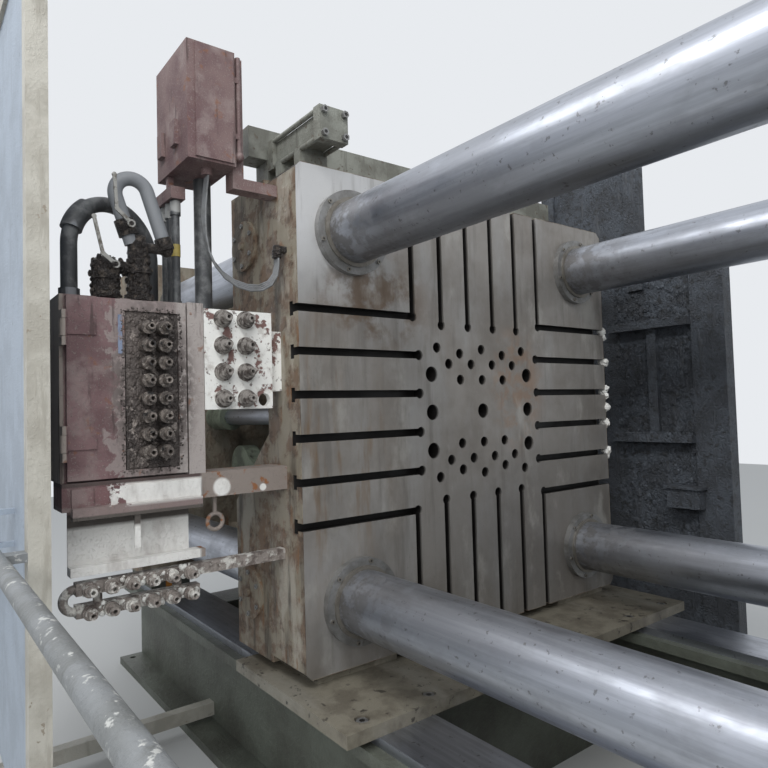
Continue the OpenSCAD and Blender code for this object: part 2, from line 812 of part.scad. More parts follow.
// A hose coupling that points along +X: collar, body and a nipple with its bore.
// Each step is [length, radius], and the bore runs back from the tip.
module coupling(steps, bore_r, bore_len) {
    rotate([0, 90, 0]) rotate_extrude() polygon(concat(
        [[0, 0]],
        [for (i = [0:len(steps) - 1], end = [0, 1])
            [steps[i][1], step_start(steps, i) + end * steps[i][0]]],
        [[bore_r, step_start(steps, len(steps))], [bore_r, step_start(steps, len(steps)) - bore_len],
         [0, step_start(steps, len(steps)) - bore_len]]));
}

// Length of a coupling up to one of its steps
function step_start(steps, i) = i == 0 ? 0 : steps[i - 1][0] + step_start(steps, i - 1);

bank_coupling = [[16, 22], [40, 19], [12, 21], [32, 11]];
plate_coupling = [[10, 30], [18, 24], [8, 20], [24, 13]];
bar_coupling = [[16, 15], [14, 21], [12, 17], [22, 12]];
coupling_bore_r = 6;
coupling_bore_len = 20;
bank_setback = 6;

module coupling_bank() {
    half_h = bank_rows * bank_pitch / 2;
    front = side_x - sheet_t - bank_setback;
    back = cabinet_back + sheet_t;
    color("#4b443f") {
        block([back, bank_columns[0] - bank_margin, bank_mid_z - half_h],
              [front, bank_columns[1] + bank_margin, bank_mid_z + half_h]);
        for (y = bank_columns, row = [0:bank_rows - 1])
            translate([front, y, bank_mid_z + (row - (bank_rows - 1) / 2) * bank_pitch])
                coupling(bank_coupling, coupling_bore_r, coupling_bore_len);
    }
}

plate_columns = [cabinet_right + 64, cabinet_right + 145];
plate_rows = 4;
plate_top = cabinet_bottom + 532;
plate_h = 330;
plate_right = cabinet_right + 245;
plate_t = 25;
first_row_drop = 31;
notch_r = 22;
notch_inset = [32, 30];
plate_gap = 2;
manifold_block_depth = 200;
manifold_block_h = 210;
manifold_block_inset = 60;

module coupling_plate() {
    block_top = plate_top - manifold_block_inset;
    color(white_paint) {
        difference() {
            block([side_x - plate_t, cabinet_right + plate_gap, plate_top - plate_h], [side_x, plate_right, plate_top]);
            translate([0, plate_right - notch_inset[0], plate_top - plate_h + notch_inset[1]])
                x_bar(side_x - plate_t - cut_margin, side_x + cut_margin, notch_r);
        }
        block([side_x - plate_t - manifold_block_depth, plate_columns[0] - plate_pitch / 2, block_top - manifold_block_h],
              [side_x - plate_t, platen_side, block_top]);
    }
    color("#7b7672") for (y = plate_columns, row = [0:plate_rows - 1])
        translate([side_x, y, plate_top - first_row_drop - row * plate_pitch])
            coupling(plate_coupling, coupling_bore_r, coupling_bore_len);
}

// Valves and hoses on top of the cabinet

stack_x = side_x - 50;
stack_right_y = cabinet_right - 189;
stack_left_y = cabinet_right - 286;
right_stack = [[0, 42], [16, 42], [16, 34], [84, 34], [84, 40], [104, 40], [104, 31], [178, 31], [190, 24], [204, 24]];
left_stack = [[0, 42], [16, 42], [16, 36], [58, 36], [58, 41], [110, 41], [124, 28]];
cross_pipe_h = 100;
cross_pipe_r = 20;

// The small grey hose: an arch in a leaning plane, whose left leg carries a ball valve
arch_lean = 18;
arch_r = 50;
arch_hose_r = 22;
arch_leg = 150;
arch_centre = [stack_x, stack_right_y - 17, cabinet_top + 335];
function on_arch(across, down) = arch_centre
    + across * [0, cos(arch_lean), sin(arch_lean)] + down * [0, sin(arch_lean), -cos(arch_lean)];
union_r = 27;
union_len = 38;
cap_r = 22;
ball_valve_down = 97;
ball_valve_r = 30;
ball_valve_len = 50;

// Stems of the two ball valves, and their levers in one plane in front of the hoses
stem_r = 7;
lever_plane_x = side_x + 2;
lever_t = 6;
hub_r = 12;
ball_valve_at = on_arch(-arch_r, ball_valve_down);
left_stem = [stack_left_y + 16, cabinet_top + 97];
right_stem = [ball_valve_at[1], ball_valve_at[2]];
lever_w = 7;
// Each lever: its stem, the bend and the tip, as [y, z] from the stem
lever_left = [left_stem, [-36, 28], [-60, 136]];
lever_right = [right_stem, [-42, 40], [-48, 142]];

module valve_stack() {
    color("#2f2a28") {
        difference() {
            translate([stack_x, stack_right_y, cabinet_top]) stack_body(right_stack);
            arch_seat();
        }
        translate([stack_x, stack_left_y, cabinet_top]) stack_body(left_stack);
        translate([stack_x, 0, cabinet_top + cross_pipe_h]) y_bar(stack_left_y, stack_right_y, cross_pipe_r);
        translate(on_arch(-arch_r, ball_valve_down - ball_valve_len / 2)) rotate([arch_lean, 0, 0])
            translate([0, 0, -ball_valve_len]) difference() {
                cylinder(r = ball_valve_r, h = ball_valve_len);
                translate([0, 0, -cut_margin]) cylinder(r = arch_hose_r + run_gap, h = ball_valve_len + 2 * cut_margin);
            }
        translate([0, left_stem[0], left_stem[1]]) x_bar(stack_x, lever_plane_x + lever_t, stem_r);
        translate([0, right_stem[0], right_stem[1]])
            x_bar(stack_x + arch_hose_r + run_gap, lever_plane_x + lever_t, stem_r);
    }
    color(grey_steel) {
        translate(on_arch(arch_r, arch_leg)) rotate([arch_lean, 0, 0])
            translate([0, 0, -union_len]) cylinder(r = union_r, h = union_len);
        translate(on_arch(arch_r, arch_leg + union_len)) sphere(r = cap_r);
        difference() {
            translate([stack_x, 0, on_arch(arch_r, arch_leg + union_len)[2]])
                y_bar(stack_right_y, on_arch(arch_r, arch_leg + union_len)[1], cross_pipe_r - 4);
            arch_seat();
        }
    }
}

// Socket in the right valve that the arch hose's left leg is pushed into
module arch_seat() {
    translate(arch_centre) rotate([arch_lean, 0, 0]) translate([0, -arch_r, -arch_leg])
        cylinder(r = arch_hose_r + run_gap, h = arch_leg);
}

// A turned body from its [height, radius] points
module stack_body(points) {
    rotate_extrude() polygon(concat([[0, 0]], [for (p = points) [p[1], p[0]]], [[0, points[len(points) - 1][0]]]));
}

// Straight bar between two points of a plane
module strip(a, b, half_w) {
    away = half_w * [a[1] - b[1], b[0] - a[0]] / norm(b - a);
    polygon([a + away, b + away, b - away, a - away]);
}

module valve_lever(lever) {
    stem = lever[0];
    bend = stem + lever[1];
    tip = stem + lever[2];
    color(bright_steel) translate([lever_plane_x, 0, 0]) rotate([90, 0, 90]) linear_extrude(lever_t) difference() {
        union() {
            translate(stem) circle(r = hub_r);
            translate(bend) circle(r = lever_w);
            translate(tip) circle(r = lever_w);
            strip(stem, bend, lever_w - 1);
            strip(bend, tip, lever_w - 2);
        }
        translate(stem) circle(r = stem_r + run_gap);
    }
}

// Hoses with both ends held: the thick one and the small one arch over the cabinet's top
thick_r = 24;
thick_start = [side_x - 100, cabinet_left + 43];
thick_end = [side_x - 240, cabinet_right - 91];
thick_leg = 166;
ferrule_r = 30;
ferrule_len = 30;
cuff_from = 128;
cuff_turn = 34;
cuff_r = 32;
riser_x = [side_x - 170, side_x - 220, side_x - 270];
riser_y = cabinet_right - 26;
riser_r = 14;
riser_fitting_r = 18;
riser_fitting_len = 52;
conduit_r = 30;
conduit_x = side_x - 190;
conduit_y = plate_columns[0] + 15;

module half_arch(r, hose_r) {
    rotate([90, 0, 0]) rotate_extrude(angle = 180) translate([r, 0]) circle(r = hose_r);
}

module hoses() {
    span = thick_end - thick_start;
    reach = norm(span);
    riser_top = junction_bottom - header_drop - header_h;
    color("#26231f") {
        translate([(thick_start[0] + thick_end[0]) / 2, (thick_start[1] + thick_end[1]) / 2, cabinet_top])
            rotate([0, 0, atan2(span[1], span[0])]) {
                translate([0, 0, thick_leg]) half_arch(reach / 2, thick_r);
                translate([0, 0, thick_leg]) rotate([90, -cuff_from, 0]) rotate_extrude(angle = cuff_turn)
                    translate([reach / 2, 0]) circle(r = cuff_r);
                for (end = [-1, 1]) translate([end * reach / 2, 0, 0]) {
                    cylinder(r = thick_r, h = thick_leg);
                    cylinder(r = ferrule_r, h = ferrule_len);
                }
            }
        for (x = riser_x) translate([x, riser_y, cabinet_top]) {
            cylinder(r = riser_r, h = riser_top - cabinet_top - riser_fitting_len);
            cylinder(r = riser_fitting_r, h = ferrule_len);
            translate([0, 0, riser_top - cabinet_top - riser_fitting_len])
                cylinder(r = riser_fitting_r, h = riser_fitting_len);
        }
        translate([conduit_x, conduit_y, plate_top - manifold_block_inset])
            cylinder(r = conduit_r, h = junction_bottom - plate_top + manifold_block_inset);
    }
    color("#6d6f70") translate(arch_centre) rotate([arch_lean, 0, 0]) {
        rotate([0, 0, 90]) half_arch(arch_r, arch_hose_r);
        for (end = [-1, 1]) translate([0, end * arch_r, -arch_leg]) cylinder(r = arch_hose_r, h = arch_leg);
    }
}

// Junction box on its angle post, with the header of the risers under it

box_left = cabinet_right - 42;
box_w = 168;
box_right = box_left + box_w;
junction_bottom = cabinet_top + 477;
box_h = 396;
box_depth = 300;
box_door_t = 8;
box_door_margin = 8;
box_door_edge = 26;
bracket_back = 90;
bracket_front = 30;
bracket_drop = 64;
bracket_h = 40;
bracket_w = 40;
header_drop = 54;
header_h = 42;
header_w = 50;
header_margin = 30;
hanger_w = 20;
latch_x = [side_x - 130, side_x - 260];
latch_w = 46;
latch_h = 84;
latch_t = 14;
latch_drop = 70;
rod_gap = 8;
door_rod_r = 9;
door_rod_x = side_x - 14;
knob_r = 17;
knob_rise = 50;
gland_x = side_x - 70;
gland_y = box_right - 77;
gland_r = 20;
gland_len = 25;

module junction_box() {
    top = junction_bottom + box_h;
    door_rod_y = box_right + rod_gap + door_rod_r;
    color(brown_paint) {
        block([side_x - box_depth, box_left, junction_bottom], [side_x, box_right, top]);
        block([side_x, box_left + box_door_edge, junction_bottom + box_door_margin],
              [side_x + box_door_t, box_right - box_door_margin, top - box_door_margin]);
        block([side_x - bracket_back, box_right, junction_bottom - bracket_drop],
              [side_x - bracket_front, platen_side, junction_bottom - bracket_drop + bracket_h]);
        block([side_x - bracket_back, box_right, junction_bottom - bracket_drop + bracket_h],
              [side_x - bracket_front, box_right + bracket_w, top]);
    }
    color(grey_steel) {
        for (x = latch_x) block([x, box_left - latch_t, junction_bottom + latch_drop],
                                [x + latch_w, box_left, junction_bottom + latch_drop + latch_h]);
        translate([door_rod_x, door_rod_y, junction_bottom + knob_rise])
            cylinder(r = door_rod_r, h = box_h - knob_rise - box_door_margin);
        translate([door_rod_x, door_rod_y, junction_bottom + knob_rise - knob_r / 2]) sphere(r = knob_r);
        for (z = [junction_bottom + 2 * knob_rise, top - 2 * knob_rise])
            block([door_rod_x - door_rod_r, box_right, z], [door_rod_x + door_rod_r, door_rod_y, z + 2 * door_rod_r]);
        block([riser_x[2] - header_margin, riser_y - header_w / 2, junction_bottom - header_drop - header_h],
              [riser_x[0] + header_margin, riser_y + header_w / 2, junction_bottom - header_drop]);
        block([riser_x[1] - hanger_w / 2, riser_y - hanger_w / 2, junction_bottom - header_drop],
              [riser_x[1] + hanger_w / 2, riser_y + hanger_w / 2, junction_bottom]);
        translate([gland_x, gland_y, junction_bottom - gland_len]) cylinder(r = gland_r, h = gland_len);
    }
}

// Four grey sensor cables that hang in a loop from the gland to a plug on the platen's side.
// The route of the first one, chosen by hand; the others lie beside it, each a little lower.
cable_route = [[-2170, -1130, 2328], [-2169, -1136, 2288], [-2166, -1142, 2240], [-2161, -1146, 2190],
               [-2152, -1148, 2136], [-2141, -1143, 2084], [-2129, -1127, 2036], [-2118, -1098, 1996],
               [-2108, -1059, 1969], [-2099, -1017, 1956], [-2091, -977, 1956], [-2085, -944, 1972],
               [-2082, -924, 2000], [-2081, -918, 2030], [-2081, -917, 2052]];
cable_r = 4;
cable_count = 4;
cable_step = 9;
cable_sides = 8;
cable_sag = 9;
plug_len = 46;
plug_r = 20;
plug_tail = 24;

// Place of one point of one cable: fanned out along X, and lower where the loop is deepest
function cable_point(i, k) = let (share = i / (len(cable_route) - 1), deep = sin(180 * share))
    cable_route[i] + [(k - (cable_count - 1) / 2) * cable_step, 0, -k * cable_sag * deep];
function cable_heading(i, k) = let (last = len(cable_route) - 1,
    step = cable_point(min(i + 1, last), k) - cable_point(max(i - 1, 0), k)) step / norm(step);
function cable_ring(i, k) = let (heading = cable_heading(i, k), side = cross(heading, [1, 0, 0]),
    across = side / norm(side), up = cross(heading, across))
    [for (n = [0:cable_sides - 1]) cable_point(i, k)
        + cable_r * (cos(360 * n / cable_sides) * across + sin(360 * n / cable_sides) * up)];

module sensor_cables() {
    rings = len(cable_route);
    color("#8f9190") for (k = [0:cable_count - 1]) polyhedron(
        points = [for (i = [0:rings - 1]) each cable_ring(i, k)],
        faces = concat([[for (n = [0:cable_sides - 1]) n]],
            [for (i = [0:rings - 2], n = [0:cable_sides - 1]) [i * cable_sides + n,
                (i + 1) * cable_sides + n, (i + 1) * cable_sides + (n + 1) % cable_sides,
                i * cable_sides + (n + 1) % cable_sides]],
            [[for (n = [cable_sides - 1:-1:0]) (rings - 1) * cable_sides + n]]));
    end = cable_route[rings - 1];
    color("#2f2a28") {
        translate(end) cylinder(r = plug_r, h = plug_len);
        translate([end[0], end[1], end[2] + plug_len - plug_tail])
            block([-plug_r, 0, 0], [plug_r, platen_side - end[1], plug_tail]);
    }
}

// Two water bars under the splash panel, joined by a hose elbow

bar_section = 36;
bar_one_z = cabinet_bottom - 308;
bar_gap_z = 64;
bar_setback = 24;
bars_left = cabinet_left + 40;
bar_two_right = cabinet_right - 16;
bar_couplings = 6;
coupling_pitch = 59;
first_coupling_y = cabinet_left + 72;
strap_w = 12;
elbow_r = 13;

module water_bars() {
    back = side_x - bar_setback - bar_section;
    front = side_x - bar_setback;
    strap_y = [first_coupling_y + coupling_pitch / 2, first_coupling_y + (bar_couplings - 1.5) * coupling_pitch];
    color(grey_steel) {
        block([back, bars_left, bar_one_z - bar_section / 2], [front, platen_side, bar_one_z + bar_section / 2]);
        block([back, bars_left, bar_one_z - bar_gap_z - bar_section / 2],
              [front, bar_two_right, bar_one_z - bar_gap_z + bar_section / 2]);
        for (y = strap_y) block([back + strap_w, y - strap_w, bar_one_z - bar_gap_z + bar_section / 2],
                                [front - strap_w, y + strap_w, bar_one_z - bar_section / 2]);
        for (z = [bar_one_z, bar_one_z - bar_gap_z], i = [0:bar_couplings - 1])
            translate([front, first_coupling_y + i * coupling_pitch, z])
                coupling(bar_coupling, coupling_bore_r, coupling_bore_len);
        translate([(back + front) / 2, bars_left, bar_one_z - bar_gap_z / 2]) rotate([90, 90, -90])
            rotate_extrude(angle = 180) translate([bar_gap_z / 2, 0]) circle(r = elbow_r);
    }
}

// Core-pulling cylinder on top of the platen: two heads, a square body and its tie rods
core_y = -771;
core_h = 121;
core_head_w = 116;
core_head_t = 40;
core_head_front = 80;
core_body_w = 84;
core_body_len = 300;
core_rod_r = 9;
core_foot_t = 40;
core_rod_at = 49;

module top_cylinder() {
    top = platen_bottom + platen_w;
    head_front = moving_face_x + core_head_front;
    body_back = head_front - core_head_t - core_body_len;
    color(link_green) {
        translate([0, core_y, top + core_h]) {
            for (x = [head_front - core_head_t, body_back - core_head_t])
                block([x, -core_head_w / 2, -core_head_w / 2], [x + core_head_t, core_head_w / 2, core_head_w / 2]);
            block([body_back, -core_body_w / 2, -core_body_w / 2],
                  [head_front - core_head_t, core_body_w / 2, core_body_w / 2]);
            for (side = [-1, 1], level = [-1, 1]) translate([0, side * core_rod_at, level * core_rod_at])
                x_bar(body_back, head_front - core_head_t, core_rod_r);
        }
        for (x = [body_back + core_foot_t, moving_face_x - 2 * core_foot_t])
            block([x - core_foot_t / 2, core_y - core_head_w / 2, top],
                  [x + core_foot_t / 2, core_y + core_head_w / 2, top + core_h - core_body_w / 2]);
    }
}

// Cross beam on top of the platen
top_beam_back = 420;
top_beam_d = 100;
top_beam_h = 120;
top_beam_rise = 116;
top_beam_overhang = 15;
top_beam_half = half_w + top_beam_overhang;
top_foot_inset = 65;
top_foot_w = 120;
top_foot_out = half_w - top_foot_inset;
top_foot_in = top_foot_out - top_foot_w;

module top_beam() {
    top = platen_bottom + platen_w;
    back = moving_face_x - top_beam_back;
    color(link_green) {
        block([back, -top_beam_half, top + top_beam_rise],
              [back + top_beam_d, top_beam_half, top + top_beam_rise + top_beam_h]);
        both_sides() block([back, top_foot_in, top], [back + top_beam_d, top_foot_out, top + top_beam_rise]);
    }
}

// Guards, standing on the floor and tied to the base

tie_low = 60;
tie_high = 120;
panel_t = 30;
panel_foot = 400;
rear_post_x = moving_face_x - 1200;
front_post_x = moving_face_x - 20;
far_post_x = 100;
guard_stations = [rear_post_x, front_post_x, far_post_x];

module guard_posts() {
    color(post_beige) {
        for (x = guard_stations) {
            block([x, -guard_y - post_w, 0], [x + post_w, -guard_y, guard_h]);
            block([x, -guard_y, tie_low], [x + post_w, -beam_y - web_t / 2, tie_high]);
        }
        block([rear_post_x, -guard_y - post_w, guard_h - post_w], [far_post_x + post_w, -guard_y, guard_h]);
    }
}

handle_x = moving_face_x - 300;
handle_z = [centre_h - 356, centre_h - 260];
handle_bar = 16;
handle_reach = 55;
module guard_panel() {
    middle = -guard_y - post_w / 2;
    color(panel_blue) block([rear_post_x + post_w, middle - panel_t / 2, panel_foot],
                            [front_post_x, middle + panel_t / 2, guard_h - post_w]);
    color(grey_steel) {
        for (z = handle_z) block([handle_x, middle - panel_t / 2 - handle_reach, z],
                                 [handle_x + handle_bar, middle - panel_t / 2, z + handle_bar]);
        block([handle_x, middle - panel_t / 2 - handle_reach, handle_z[0]],
              [handle_x + handle_bar, middle - panel_t / 2 - handle_reach + handle_bar, handle_z[1] + handle_bar]);
    }
}

rail_z = centre_h - 335;
rail_reach = 68;
rail_end_rear = 60;
rail_end_front = 200;
module hand_rail() {
    rail_y = -guard_y - post_w - rail_reach;
    color(grey_steel) {
        translate([0, rail_y, rail_z]) x_bar(front_post_x - rail_end_rear, far_post_x + rail_end_front, rail_d / 2);
        for (x = [front_post_x, far_post_x])
            block([x, rail_y, rail_z - rail_d / 4], [x + post_w, -guard_y - post_w, rail_z + rail_d / 4]);
    }
}

// Guard on the far side: a low wall with ledges in front of the die space, and a high one behind it
far_rear_x = moving_face_x - 600;
far_front_x = moving_face_x + 292;
far_post_w = 87;
far_second_w = 79;
far_post_d = 80;
low_wall_top = centre_h + 700;
high_post_x = moving_face_x - 49;
high_post_w = 92;
ledge_back_x = moving_face_x - 143;
ledge_depth = 60;
ledge_t = 40;
ledge_z = [centre_h + 402, centre_h - 192];
mid_rib_x = moving_face_x + 58;
mid_rib_w = 50;
mid_rib_d = 30;
clamp_box = [166, 80, 96];
clamp_at = [moving_face_x + 161, centre_h - 517];
clamp_lip = 12;
wall_setback = 20;

module rear_guard() {
    wall_y = rear_guard_y + wall_setback;
    color(dark_guard) {
        block([far_rear_x, rear_guard_y, 0], [far_rear_x + far_post_w, rear_guard_y + far_post_d, guard_h]);
        block([far_front_x, rear_guard_y, 0], [far_front_x + far_post_w, rear_guard_y + far_post_d, low_wall_top]);
        for (x = [far_rear_x, far_front_x])
            block([x, beam_y + web_t / 2, tie_low], [x + far_post_w, rear_guard_y, tie_high]);
        block([far_rear_x + far_post_w, wall_y, panel_foot], [far_front_x, wall_y + panel_t, low_wall_top]);
        block([far_rear_x + far_post_w, wall_y, low_wall_top], [high_post_x, wall_y + panel_t, guard_h]);
        for (z = ledge_z) block([ledge_back_x, wall_y - ledge_depth, z], [far_front_x, wall_y, z + ledge_t]);
        block([mid_rib_x, wall_y - mid_rib_d, ledge_z[1] + ledge_t], [mid_rib_x + mid_rib_w, wall_y, ledge_z[0]]);
        translate([clamp_at[0], wall_y - clamp_box[1], clamp_at[1]]) block([0, 0, 0], clamp_box);
        translate([clamp_at[0] - clamp_lip, wall_y - clamp_box[1] - clamp_lip, clamp_at[1] + clamp_box[2]])
            block([0, 0, 0], [clamp_box[0] + 2 * clamp_lip, clamp_box[1] + clamp_lip, clamp_lip]);
    }
    color(post_beige) block([far_front_x + far_post_w, rear_guard_y, 0],
                            [far_front_x + far_post_w + far_second_w, rear_guard_y + far_post_d, low_wall_top]);
    color(white_paint) block([high_post_x, rear_guard_y, low_wall_top - far_post_d],
                             [high_post_x + high_post_w, wall_y + panel_t, guard_h]);
}

fixed_platen();
moving_platen();
platen_ribs();
front_lugs();
link_platen();
rear_lugs();
tie_bar(-1, 1);  // tie_bar_upper_left
tie_bar(1, 1);  // tie_bar_upper_right
tie_bar(-1, -1);  // tie_bar_lower_left
tie_bar(1, -1);  // tie_bar_lower_right
bar_nuts();
bar_collars();
base_beams();
base_cross_members();
slide_ways();
platen_feet();
carrier_plate();
crosshead();
guide_rods();
closing_cylinder();
drive_link(1);  // upper_drive_link
drive_link(-1);  // lower_drive_link
rear_link(1);  // upper_rear_link
rear_link(-1);  // lower_rear_link
front_link_pair(1);  // upper_front_link
front_link_pair(-1);  // lower_front_link
ejector_unit();
support_arm();
cabinet();
cabinet_door();
coupling_bank();
coupling_plate();
valve_stack();
valve_lever(lever_left);  // valve_lever_left
valve_lever(lever_right);  // valve_lever_right
hoses();
sensor_cables();
water_bars();
junction_box();
top_cylinder();
top_beam();
guard_posts();
guard_panel();
hand_rail();
rear_guard();
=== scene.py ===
# %% [markdown]
# A die casting machine opens and closes a mould between two heavy steel plates, called platens.
# The part is packed already as exact solids. This lesson gives them their looks in Blender: years of
# grease, rust and white release agent on bare and painted steel, and the screws that hold them.
# Everything is in metres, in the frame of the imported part, so a piece goes where a node's box says.

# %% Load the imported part
import math

import bmesh
import bpy
from mathutils import Matrix, Vector, noise


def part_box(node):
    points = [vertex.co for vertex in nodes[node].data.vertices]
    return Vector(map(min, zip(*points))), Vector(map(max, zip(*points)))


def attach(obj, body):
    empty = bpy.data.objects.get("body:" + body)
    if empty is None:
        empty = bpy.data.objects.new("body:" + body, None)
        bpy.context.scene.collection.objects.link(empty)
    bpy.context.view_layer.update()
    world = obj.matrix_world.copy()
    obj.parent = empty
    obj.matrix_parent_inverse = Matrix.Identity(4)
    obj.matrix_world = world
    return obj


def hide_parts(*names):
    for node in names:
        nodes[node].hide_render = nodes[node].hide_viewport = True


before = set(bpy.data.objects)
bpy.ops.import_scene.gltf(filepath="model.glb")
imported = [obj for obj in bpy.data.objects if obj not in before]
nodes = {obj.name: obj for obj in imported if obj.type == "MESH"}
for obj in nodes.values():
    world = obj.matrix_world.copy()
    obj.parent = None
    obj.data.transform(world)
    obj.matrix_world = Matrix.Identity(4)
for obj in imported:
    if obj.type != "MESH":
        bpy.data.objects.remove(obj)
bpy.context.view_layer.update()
scene = bpy.context.scene


def linked(name, data):
    """A new object that holds this data, linked to the scene."""
    made = bpy.data.objects.new(name, data)
    scene.collection.objects.link(made)
    return made


# %% [markdown]
# The camera comes first, because it decides what has to be made with care. It stands on the
# operator's side, level with the middle of the machine and close to the plate that moves, with a wide lens.
# Its place was found from the slots, the holes and the bars of the photograph.

# %% Camera
CAMERA_AT = Vector((-0.108, -1.971, 1.516))
CAMERA_YAW = 0.6529
CAMERA_PITCH = 0.0401
CAMERA_ROLL = -0.028
SENSOR_MM = 36.0
LENS_MM = 29.94
SIGHT_M = 60


def add_camera():
    """The photograph's camera, as a turn about the upright, then a pitch and a roll."""
    forward = Vector((-math.cos(CAMERA_YAW) * math.cos(CAMERA_PITCH),
                      math.sin(CAMERA_YAW) * math.cos(CAMERA_PITCH), math.sin(CAMERA_PITCH)))
    level_right = forward.cross(Vector((0, 0, 1))).normalized()
    level_up = level_right.cross(forward)
    right = math.cos(CAMERA_ROLL) * level_right + math.sin(CAMERA_ROLL) * level_up
    up = math.cos(CAMERA_ROLL) * level_up - math.sin(CAMERA_ROLL) * level_right
    data = bpy.data.cameras.new("camera")
    data.sensor_width = SENSOR_MM
    data.lens = LENS_MM
    data.clip_end = SIGHT_M
    camera = linked("camera", data)
    turn = Matrix((right, up, -forward)).transposed().to_4x4()
    camera.matrix_world = Matrix.Translation(CAMERA_AT) @ turn
    scene.camera = camera
    return forward


looking = add_camera()
print("camera looks along", [round(v, 3) for v in looking])

# %% [markdown]
# Four grey sensor cables hang in a loop from the gland under the small cabinet to a plug on the
# plate's side. A cable is a fixed length of copper and soft sheath, so its route is a list of given
# points, and each cable is a curve with a round bevel that follows it. The points are those of the
# solid part, in metres, and the three other cables lie beside the first, each a little lower.

# %% Sensor cables
CABLE_ROUTE = [(-2.170, -1.130, 2.328), (-2.169, -1.136, 2.288), (-2.166, -1.142, 2.240),
               (-2.161, -1.146, 2.190), (-2.152, -1.148, 2.136), (-2.141, -1.143, 2.084),
               (-2.129, -1.127, 2.036), (-2.118, -1.098, 1.996), (-2.108, -1.059, 1.969),
               (-2.099, -1.017, 1.956), (-2.091, -0.977, 1.956), (-2.085, -0.944, 1.972),
               (-2.082, -0.924, 2.000), (-2.081, -0.918, 2.030), (-2.081, -0.917, 2.052)]
CABLE_COUNT = 4
CABLE_D = 0.008
CABLE_STEP = 0.009
CABLE_SAG = 0.009
CABLE_CORNERS = 3


def cable_points(which):
    """The route of one cable: beside its neighbours, and lower where the loop is deepest."""
    points = []
    for i, place in enumerate(CABLE_ROUTE):
        deep = math.sin(math.pi * i / (len(CABLE_ROUTE) - 1))
        beside = (which - (CABLE_COUNT - 1) / 2) * CABLE_STEP
        points.append(Vector(place) + Vector((beside, 0, -which * CABLE_SAG * deep)))
    return points


def add_cable(which):
    """One cable as a curve with a round bevel, through its own points."""
    points = cable_points(which)
    curve = bpy.data.curves.new(f"sensor_cable_{which + 1}", "CURVE")
    curve.dimensions = "3D"
    curve.bevel_depth = CABLE_D / 2
    curve.bevel_resolution = CABLE_CORNERS
    curve.use_fill_caps = True
    line = curve.splines.new("POLY")
    line.points.add(len(points) - 1)
    for spot, place in zip(line.points, points):
        spot.co = (*place, 1)
    line.use_smooth = True
    length = sum((b - a).length for a, b in zip(points, points[1:]))
    return linked(curve.name, curve), points[0], length


cables = [add_cable(which) for which in range(CABLE_COUNT)]
print("cables of", [round(length, 3) for _, _, length in cables], "m")

# %% [markdown]
# Every finish here is procedural: clouds of noise, worked out from real sizes in metres on the piece's
# own Object coordinates, decide where one coat shows through another. A painted or bare surface starts
# from its plain colour, and each later coat, such as rust, grease or white release agent, is laid over it
# by a mask. Small helpers do this: one adds a shader node, one makes cloudy patches, two make masks
# round a place or beyond a line, and the others put masks together and lay the coats.

# %% Helpers for the finishes
CLOUD_DETAIL = 5.0
CLOUD_ROUGHNESS = 0.62


def linear(hex_colour):
    """An sRGB hex colour as the linear colour that a shader works in."""
    parts = [int(hex_colour[i:i + 2], 16) / 255 for i in (1, 3, 5)]
    return (*(v / 12.92 if v <= 0.04045 else ((v + 0.055) / 1.055) ** 2.4 for v in parts), 1.0)


def add(tree, kind, inputs=None, **settings):
    """Adds a node. Inputs are values or sockets by name or number, settings are its own properties."""
    made = tree.nodes.new(kind)
    for name, value in settings.items():
        setattr(made, name, value)
    for name, value in (inputs or {}).items():
        if isinstance(value, bpy.types.NodeSocket):
            tree.links.new(value, made.inputs[name])
        else:
            made.inputs[name].default_value = value
    return made


def patches(tree, size, low, high, shift=0, down=1, along=1):
    """Cloudy patches about size metres across: 0 where the noise is under low, 1 where it is over high.
    Down and along are under 1 where the patches are drawn out along Z or X."""
    where = add(tree, "ShaderNodeTexCoord").outputs["Object"]
    placed = add(tree, "ShaderNodeMapping", {"Vector": where, "Location": (shift,) * 3,
                                             "Scale": (along, 1, down)})
    cloud = add(tree, "ShaderNodeTexNoise", {"Vector": placed.outputs[0], "Scale": 1 / size,
                                             "Detail": CLOUD_DETAIL, "Roughness": CLOUD_ROUGHNESS})
    return add(tree, "ShaderNodeMapRange", {"Value": cloud.outputs[0], "From Min": low, "From Max": high},
               interpolation_type="SMOOTHSTEP").outputs[0]


def around(tree, centre, reach, core=0.35):
    """1 near the centre and 0 beyond the reach, which is an ellipsoid's three half-sizes in metres."""
    where = add(tree, "ShaderNodeTexCoord").outputs["Object"]
    away = add(tree, "ShaderNodeVectorMath", {0: where, 1: centre}, operation="SUBTRACT").outputs[0]
    share = add(tree, "ShaderNodeVectorMath", {0: away, 1: reach}, operation="DIVIDE").outputs[0]
    length = add(tree, "ShaderNodeVectorMath", {0: share}, operation="LENGTH").outputs["Value"]
    return add(tree, "ShaderNodeMapRange", {"Value": length, "From Min": 1.0, "From Max": core},
               interpolation_type="SMOOTHSTEP").outputs[0]


def beyond(tree, axis, start, end):
    """0 at start and 1 at end along one axis of the piece."""
    where = add(tree, "ShaderNodeTexCoord").outputs["Object"]
    parts = add(tree, "ShaderNodeSeparateXYZ", {0: where})
    return add(tree, "ShaderNodeMapRange", {"Value": parts.outputs["XYZ".index(axis)], "From Min": start,
                                            "From Max": end}).outputs[0]


def combine(tree, how, first, *others):
    """Masks put together by one kind of sum, such as ADD."""
    for other in others:
        first = add(tree, "ShaderNodeMath", {0: first, 1: other}, operation=how, use_clamp=True).outputs[0]
    return first


def times(tree, *masks):
    """Masks and shares multiplied together."""
    return combine(tree, "MULTIPLY", *masks)


def most(tree, *masks):
    """The largest of several masks."""
    return combine(tree, "MAXIMUM", *masks)


